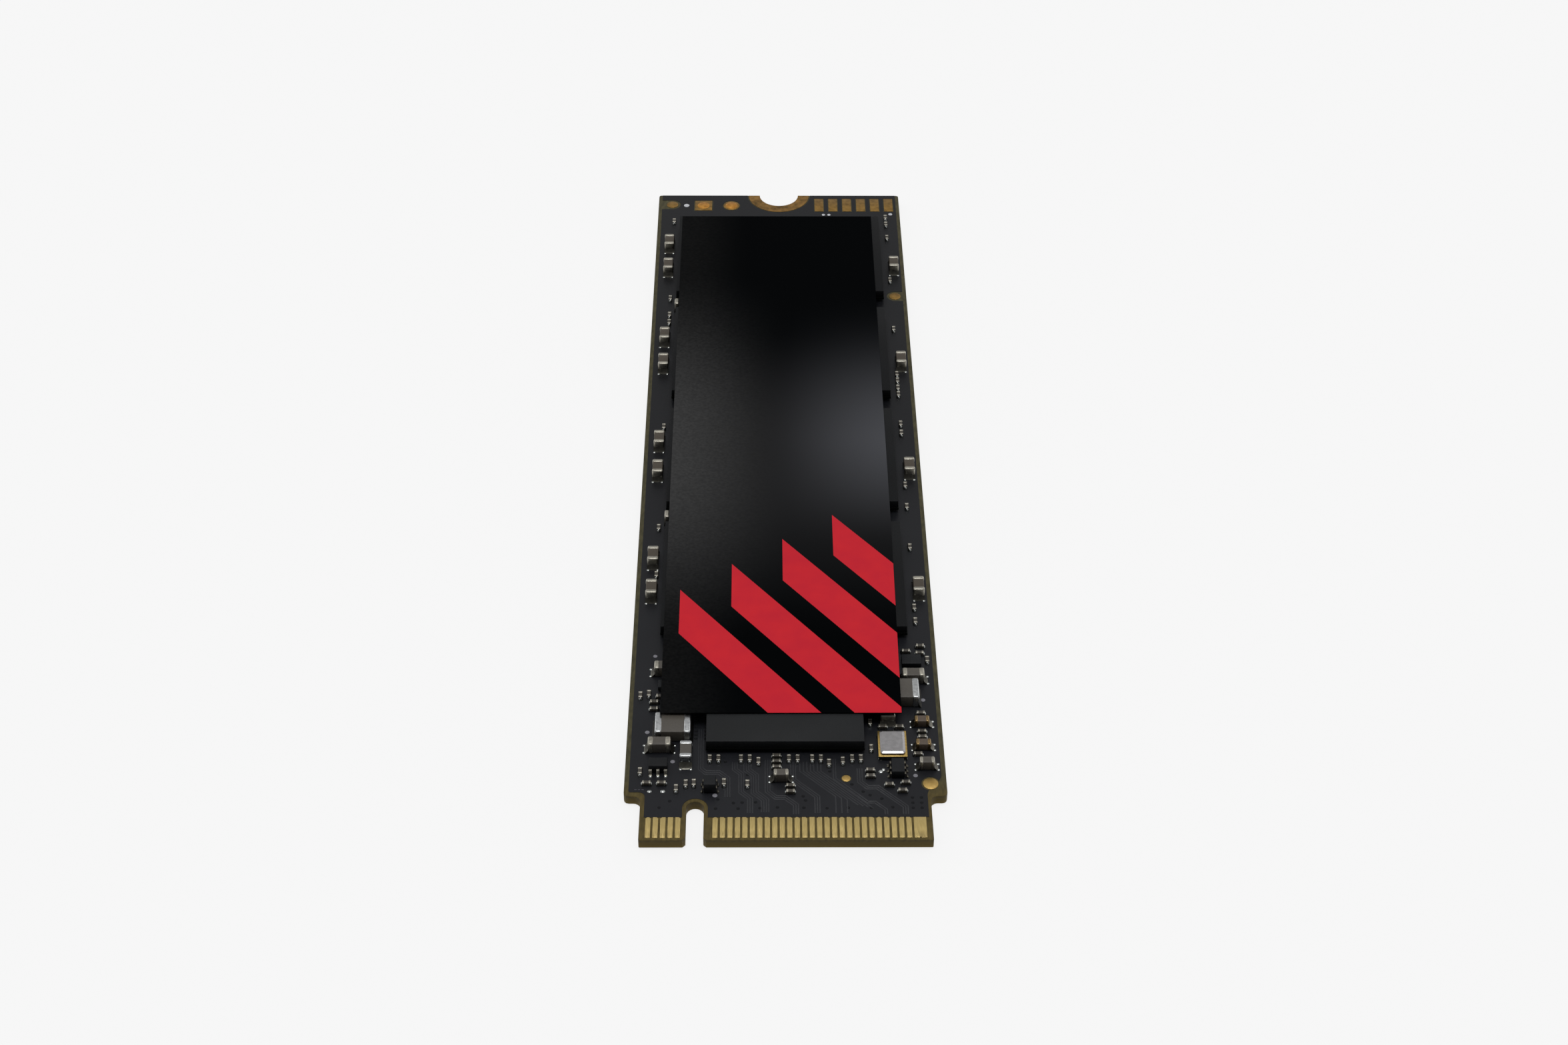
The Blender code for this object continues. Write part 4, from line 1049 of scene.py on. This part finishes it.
# %% Solder on bare test points
SOLDER_DROPS = [
    (-9.25, -35.55, 0.16), (-8.35, -35.55, 0.18), (6.56, -33.70, 0.19), (6.74, -33.52, 0.15),
    (7.10, -33.05, 0.12)]
shape = bmesh.new()
for x, y, radius in SOLDER_DROPS:
    add_to(shape, dome(radius, radius * 0.42, (x, y, MASK_TOP - 0.01), 16))
make_piece("solder_drops", shape, [SOLDER])
print("solder drops:", len(SOLDER_DROPS))

# %% [markdown]
# ## Chips on solder balls
#
# A memory package is a cap of black epoxy moulded on a thin green-black substrate, and
# it stands on a grid of solder balls, one millimetre apart. From the side the balls show
# as a dark row with small glints. Each ball is a low-sided sphere: there are hundreds,
# and at this size nobody can count their faces.

# %% Packages
BALL_SPACE = 0.25
BALL_PITCH = 1.0
BALL_RADIUS = 0.22
BALL_FLATNESS = 0.62
SUBSTRATE_THICKNESS = 0.22
# The cap stands back from the substrate by half of this on each side.
CAP_STEP = 0.08


def ball_row(span):
    """Evenly spaced places across a span, centred, clear of its ends."""
    count = int((span - 1.2) / BALL_PITCH) + 1
    return [(-(count - 1) / 2 + number) * BALL_PITCH for number in range(count)]


def package_shape(low, high):
    """Cap 0, substrate 1 and balls 2, in place."""
    shape = bmesh.new()
    size = high - low
    middle = (low + high) / 2
    ledge = low.z + BALL_SPACE
    place = (middle.x, middle.y, ledge + SUBSTRATE_THICKNESS / 2)
    add_to(shape, softened_block((size.x, size.y, SUBSTRATE_THICKNESS), place, 0.012, 1), 1)
    cap = (size.x - CAP_STEP, size.y - CAP_STEP, high.z - ledge - SUBSTRATE_THICKNESS)
    add_to(shape, softened_block(cap, (middle.x, middle.y, high.z - cap[2] / 2), 0.03), 0)
    for x in ball_row(size.x):
        for y in ball_row(size.y):
            ball = bmesh.new()
            bmesh.ops.create_uvsphere(ball, u_segments=8, v_segments=5, radius=BALL_RADIUS)
            stretch(ball, (1.0, 1.0, BALL_FLATNESS))
            move(ball, (middle.x + x, middle.y + y, low.z + BALL_SPACE / 2))
            add_to(shape, ball, 2)
    return shape


package_names = ["controller_chip"] + ["memory_chip_" + str(number) for number in range(1, 5)]
for name in package_names:
    cap_finish = MOULD if name == "controller_chip" else MEMORY_MOULD
    make_piece(
        name + "_dressed", package_shape(*node_box(name)), [cap_finish, SUBSTRATE, SOLDER],
        replaces=[name])
print("packages dressed:", len(package_names))

# %% [markdown]
# ## Small packages with gull-wing leads
#
# The regulators, the power switch and the sensor have thin leads that leave the body
# half way up, bend down and end in a flat foot in solder. The side view of one lead is
# drawn as eight corners and given its width, and its rims are softened. Bending a bar
# with modifiers would also do, but the side view is the shape that the press makes.

# %% One lead
LEAD_WIDTH = 0.22
LEAD_THICKNESS = 0.09


def lead_shape(height):
    """A lead that leaves the body at x = 0, at a height, and ends in a foot."""
    corners = [
        (-0.10, height), (0.13, height), (0.21, LEAD_THICKNESS), (0.30, LEAD_THICKNESS),
        (0.30, 0.0), (0.14, 0.0), (0.06, height - LEAD_THICKNESS),
        (-0.10, height - LEAD_THICKNESS)]
    part = bmesh.new()
    part.faces.new([part.verts.new((x, -LEAD_WIDTH / 2, z)) for x, z in corners])
    extrude(part, (0.0, LEAD_WIDTH, 0.0))
    bevel(part, part.edges[:], 0.015)
    return part


# %% Bodies with their leads
STANDOFF = 0.06
# A lead's upper face leaves the body this far above the body's middle.
LEAD_RISE = 0.05
# Each side of a body slopes back this far above and below its middle.
BODY_SLOPE = 0.05


def leaded_shape(width, depth, height, leads, pitch, reach):
    """Body 0, leads 1 and solder 2; leads on both sides along Y, shortened by reach."""
    shape = bmesh.new()
    middle = STANDOFF + height / 2
    body = softened_block((width, depth, height), (0, 0, middle))
    slice_along(body, (0, 0, middle), (0, 0, 1))
    for vert in body.verts:
        if abs(vert.co.z - middle) > height / 4:
            vert.co.x -= math.copysign(BODY_SLOPE, vert.co.x)
            vert.co.y -= math.copysign(BODY_SLOPE, vert.co.y)
    bevel(body, [edge for edge in body.edges if edge.calc_face_angle(0.0) > 0.6], 0.03)
    add_to(shape, body, 0)
    for facing in (math.pi / 2, -math.pi / 2):
        for number in range(leads):
            across = (number - (leads - 1) / 2) * pitch
            lead = lead_shape(middle + LEAD_RISE)
            drop = dome(0.15, 0.07, (0.26, 0.0, 0.0))
            stretch(drop, (1.0, 0.80, 1.0))
            for part, paint in ((lead, 1), (drop, 2)):
                stretch(part, (reach, 1.0, 1.0))
                move(part, (depth / 2 - 0.03, across, 0))
                turn(part, facing)
                add_to(shape, part, paint)
    return shape


# %% The five small packages
# Width, depth, height, leads a side, their pitch, the way it lies, their reach and plating
LEADED = {
    "regulator_left": (1.35, 0.92, 0.66, 3, 0.52, X_WAY, 1.0, MATT_TIN),
    "regulator_right": (1.40, 0.95, 0.62, 3, 0.50, Y_WAY, 0.8, DARK_LEAD),
    "power_switch": (1.00, 0.90, 0.80, 2, 0.62, Y_WAY, 0.55, DARK_LEAD),
    "temperature_sensor": (1.90, 0.85, 0.42, 3, 0.60, X_WAY, 1.0, MATT_TIN)}
for name, (*sizes, quarter_turn, reach, tin) in LEADED.items():
    low, high = node_box(name)
    middle = (low + high) / 2
    shape = leaded_shape(*sizes, reach)
    stand(shape, middle.x, middle.y, quarter_turn, low.z)
    # Beside dark leads the drops take the solder painted dark, a painted shade.
    drops = SOLDER if tin is MATT_TIN else SHADED_SOLDER
    make_piece(
        name + "_dressed", shape, [GLOSS_MOULD, tin, drops],
        replaces=[name])

low, high = node_box("clock_buffer")
shape = bmesh.new()
add_to(shape, softened_block(high - low, (low + high) / 2, 0.04))
make_piece(
    "clock_buffer_dressed", shape, [GLOSS_MOULD],
    replaces=["clock_buffer"])
print("small packages dressed:", len(LEADED) + 1)

# %% [markdown]
# ## The crystal
#
# A crystal sits in a ceramic tray with a gilt rim, closed by a nickel lid that is seam
# welded round its edge. The lid is what the eye finds: a bright plate whose sloping rim
# catches the lamp at the front. It starts as a block with rounded corners, its top is
# inset, and the outer ring is pressed down to make the slope. A bevel would round the
# rim instead, and a round rim gives only a thin line of light.

# %% Crystal finishes
# Black alumina, fired with the tray: it stays dark under the bright lid.
TRAY = ceramic("tray_ceramic", "#15130f", "#1f1c16")
# Gold-plated seal ring: a narrow warm frame round the lid.
GILT = mottled("gilt_rim", 0.34, 0.12, "#a98c50", "#c7aa66", depth=0.004, metallic=1.0)
# Rolled nickel alloy: an even grey plate, blurred by its rolling, with a bright front rim.
LID = mottled(
    "nickel_lid", 0.28, 0.25, "#9c9a9b", "#a3a1a2", spread=(0.22, 0.36), depth=0.0015,
    metallic=1.0)
print("finishes:", TRAY.name, GILT.name, LID.name)

# %% Tray
RIM_THICKNESS = 0.07
# The ceramic stays this far inside its box, so that the rim covers it.
TRAY_STEP = 0.02

low, high = node_box("crystal_base")
middle = (low + high) / 2
size = high - low
shape = bmesh.new()
tray = softened_block(size - Vector((TRAY_STEP,) * 3), (0, 0, -TRAY_STEP / 2), 0.03)
move(tray, middle)
add_to(shape, tray, 0)
place = (middle.x, middle.y, high.z - RIM_THICKNESS / 2)
add_to(shape, softened_block((size.x, size.y, RIM_THICKNESS), place, 0.025), 1)
for x_side in (-1.0, 1.0):
    for y_side in (-1.0, 1.0):
        place = (middle.x + x_side * 0.80, middle.y + y_side * 1.0, low.z)
        add_to(shape, dome(0.26, 0.10, place), 2)
make_piece(
    "crystal_tray_dressed", shape, [TRAY, GILT, SOLDER],
    replaces=["crystal_base"])

# %% Lid
LID_CORNER = 0.19
SLOPE_WIDTH = 0.155
SLOPE_DROP = 0.066

low, high = node_box("crystal_lid")
size = high - low
lid = softened_block(size, (0, 0, 0))
upright = [e for e in lid.edges if abs(e.verts[0].co.z - e.verts[1].co.z) > size.z / 2]
bevel(lid, upright, LID_CORNER, 5)
top = [face for face in lid.faces if face.normal.z > 0.9]
outer_ring = {vert for face in top for vert in face.verts}
bmesh.ops.inset_individual(lid, faces=top, thickness=SLOPE_WIDTH, depth=0.0)
for vert in outer_ring:
    vert.co.z -= SLOPE_DROP
move(lid, (low + high) / 2)
shape = bmesh.new()
add_to(shape, lid)
make_piece(
    "crystal_lid_dressed", shape, [LID], replaces=["crystal_lid"],
    smooth=15.0)
print("crystal dressed")

# %% [markdown]
# ## The label
#
# A thin printed film lies across the package tops. Its black has a brushed grey print at
# the left, made brightest half way along by a painted sheen, a soft painted grey sheen at
# the right, and four slanted red bars that run off its front corner. The bars are cut into
# the sheet's own top face with planes, so their edges stay as sharp as print, and each
# face then takes red or black.

# %% Label finishes
# Black printed film with a matt overcoat: hardly any gloss, only a brushed grey print at
# the left and a cool painted sheen in its colour across the middle and at the other side.
FILM = new_finish("black_film", 0.42, specular=0.005)
haze = grain(FILM, 0.16, 4.0, (0.75, 1.0, 1.0))
# A faint haze keeps to the left rim over the whole length.
rim_haze = where_all(FILM, along(FILM, "X", -2.5, -8.5), between(FILM, haze, 0.40, 0.90))
# Another haze, smooth and even, lies across the middle of the card: a painted sheen.
painted_middle_sheen = where_all(FILM, along(FILM, "Y", -22.0, -3.0), along(FILM, "Y", 17.0, 1.0))
# A grained brushed print at the left side, made strongest half way along the card by a painted
# sheen
brushed_print_with_sheen = where_all(
    FILM, along(FILM, "X", 1.0, -10.0), along(FILM, "Y", -22.5, -1.0),
    along(FILM, "Y", 26.0, 2.0), between(FILM, haze, 0.62, 1.14))
# A smooth painted sheen at the right side, with a longer tail towards the rear
sheen_rear_fall = along(FILM, "Y", 25.0, 0.5)
painted_right_sheen = where_all(
    FILM, along(FILM, "X", -2.5, 10.0), along(FILM, "Y", -11.5, 3.0), sheen_rear_fall, sheen_rear_fall)
film_tone = layered(
    FILM, "#030405", (rim_haze, "#161616"), (painted_middle_sheen, "#1e1e1f"), (brushed_print_with_sheen, "#3d3d3d"),
    (painted_right_sheen, "#494a4e"))
wire(FILM, film_tone, "Base Color")
roughness_from(FILM, haze, 0.38, 0.46)
bump_from(FILM, haze, 0.001)

# Red printing ink: flat and even, a deeper red where it lies thicker.
RED = mottled(
    "red_ink", 0.45, 1.5, "#bb2230", "#c3252f", skin=0.2, depth=0.001, specular=0.05)
print("finishes:", FILM.name, RED.name)

# %% Label sheet
# The right side runs in by this much towards the front corner, over its last stretch.
TAPER = 0.12
TAPER_LENGTH = 20.0
BAR_LEFT = (3.77, -0.05, -3.84, -7.62)
BAR_TOP = (-7.62, -10.47, -13.36, -16.27)
BAR_TALL = 4.75
BAR_SLOPE = -1.275

low, high = node_box("label_sheet")
corners = [
    (low.x, low.y), (high.x - TAPER, low.y), (high.x, low.y + TAPER_LENGTH),
    (high.x, high.y), (low.x, high.y)]
rounds = [(x, y, 0.04, 3) for x, y in corners if y in (low.y, high.y)]
sheet = plate(corners, low.z, high.z, rounds)
slant = Vector((-BAR_SLOPE, 1.0, 0.0)).normalized()
for left in BAR_LEFT:
    slice_along(sheet, (left, 0.0, 0.0), (1.0, 0.0, 0.0))
for left, top in zip(BAR_LEFT, BAR_TOP):
    slice_along(sheet, (left, top, 0.0), slant)
    slice_along(sheet, (left, top - BAR_TALL, 0.0), slant)


# %% Red bars
def on_a_bar(point):
    """Whether a point of the label lies on one of the slanted bars."""
    for left, top in zip(BAR_LEFT, BAR_TOP):
        edge = top + BAR_SLOPE * (point.x - left)
        if point.x > left and edge - BAR_TALL < point.y < edge:
            return True
    return False


red_faces = 0
for face in sheet.faces:
    printed = face.normal.z > 0.5 and on_a_bar(face.calc_center_median())
    face.material_index = 1 if printed else 0
    red_faces += printed
face_outwards(sheet)
make_piece(
    "label_sheet_dressed", sheet, [FILM, RED], replaces=["label_sheet"])
print("label with", red_faces, "red faces")

# %% [markdown]
# ## Floor, light and camera
#
# The card lies on a plain white floor. The sky is a soft grey, darker before the card.
# One large lamp over the card gives the bright rims on tin and solder and leaves the
# front faces dark, and two weak ones behind it edge the sides. Together they light a
# surface about as brightly as its colour is written. The camera stands where the
# photograph's stood, worked out from the card's corners, and looks down at it at about
# 40 degrees.

# %% Floor finish
# Matt white board: no gloss, and the card leaves a faint shadow on it.
FLOOR = new_finish("white_floor", 0.9, specular=0.0)
board_tone = layered(FLOOR, "#d6d6d6", (grain(FLOOR, 900.0), "#d8d8d8"))
wire(FLOOR, board_tone, "Base Color")
# To the camera and to reflections the floor is a little lighter than its lit colour.
FLOOR_GLOW = 0.80
seen = add_node(FLOOR, "ShaderNodeLightPath", {}, "Is Camera Ray")
for ray in ("Is Glossy Ray", "Is Transmission Ray"):
    other = add_node(FLOOR, "ShaderNodeLightPath", {}, ray)
    seen = add_node(FLOOR, "ShaderNodeMath", {0: seen, 1: other}, operation='MAXIMUM')
share = add_node(FLOOR, "ShaderNodeMath", {0: seen, 1: FLOOR_GLOW}, operation='MULTIPLY')
glow = add_node(FLOOR, "ShaderNodeEmission", {"Color": "#ffffff", "Strength": 1.0})
lit = FLOOR.node_tree.nodes["Principled BSDF"].outputs["BSDF"]
blend = add_node(FLOOR, "ShaderNodeMixShader", {0: share, 1: lit, 2: glow})
wire(FLOOR, blend, "Surface", "Material Output")

# %% Floor
FLOOR_HALF = 3.0
FLOOR_DROP = 0.00003
floor_shape = bmesh.new()
bmesh.ops.create_grid(floor_shape, x_segments=2, y_segments=2, size=FLOOR_HALF)
move(floor_shape, (0.0, 0.0, -FLOOR_DROP))
floor_mesh = mesh_of(floor_shape, "studio_floor")
floor_mesh.materials.append(FLOOR)
in_scene("studio_floor", floor_mesh)
print("floor laid")

# %% Sky and lamps
world = bpy.data.worlds.new("soft_sky")
world.use_nodes = True
sky = world.node_tree.nodes["Background"]
sky.inputs["Color"].default_value = linear("#ffffff")
facing = add_node(world, "ShaderNodeTexCoord", {}, "Generated")
front_to_back = add_node(world, "ShaderNodeSeparateXYZ", {"Vector": facing}, "Y")
brightness = add_node(
    world, "ShaderNodeMapRange",
    {"Value": front_to_back, "From Min": -0.85, "From Max": 0.05,
     "To Min": 0.07, "To Max": 0.60}, "Result", interpolation_type='SMOOTHSTEP')
wire(world, brightness, "Strength", "Background")
bpy.context.scene.world = world


def softbox(name, place, size, radiance):
    """A square lamp of a given brightness that faces the card's middle."""
    lamp = bpy.data.lights.new(name, 'AREA')
    lamp.shape = 'SQUARE'
    lamp.size = size
    lamp.energy = radiance * math.pi * size * size
    holder = in_scene(name, lamp)
    holder.location = place
    holder.rotation_euler = (-Vector(place)).to_track_quat('-Z', 'Y').to_euler()


softbox("overhead_softbox", (0.0, -0.06, 1.20), 0.62, 5.6)
softbox("left_side_softbox", (-0.95, 0.75, 0.30), 0.60, 1.5)
softbox("right_side_softbox", (0.95, 0.75, 0.30), 0.60, 1.5)
print("lamps: 3")

# %% Camera
eye = Vector((-1.746, -148.234, 118.726)) * MM
ahead = Vector((0.01010, 0.76739, -0.64110)).normalized()
right = Vector((0.99995, -0.00782, 0.00639)).normalized()
up = right.cross(ahead).normalized()
right = ahead.cross(up).normalized()
view = Matrix((right, up, -ahead)).transposed().to_4x4()
view.translation = eye
camera_data = bpy.data.cameras.new("camera")
camera_data.sensor_width = 36.0
camera_data.lens = 54.78
camera_data.clip_start = 0.005
camera_data.clip_end = 20.0
camera = in_scene("camera", camera_data)
camera.matrix_world = view
bpy.context.scene.camera = camera
bpy.context.scene.view_settings.view_transform = 'Standard'
print("camera at", [round(v, 4) for v in eye])
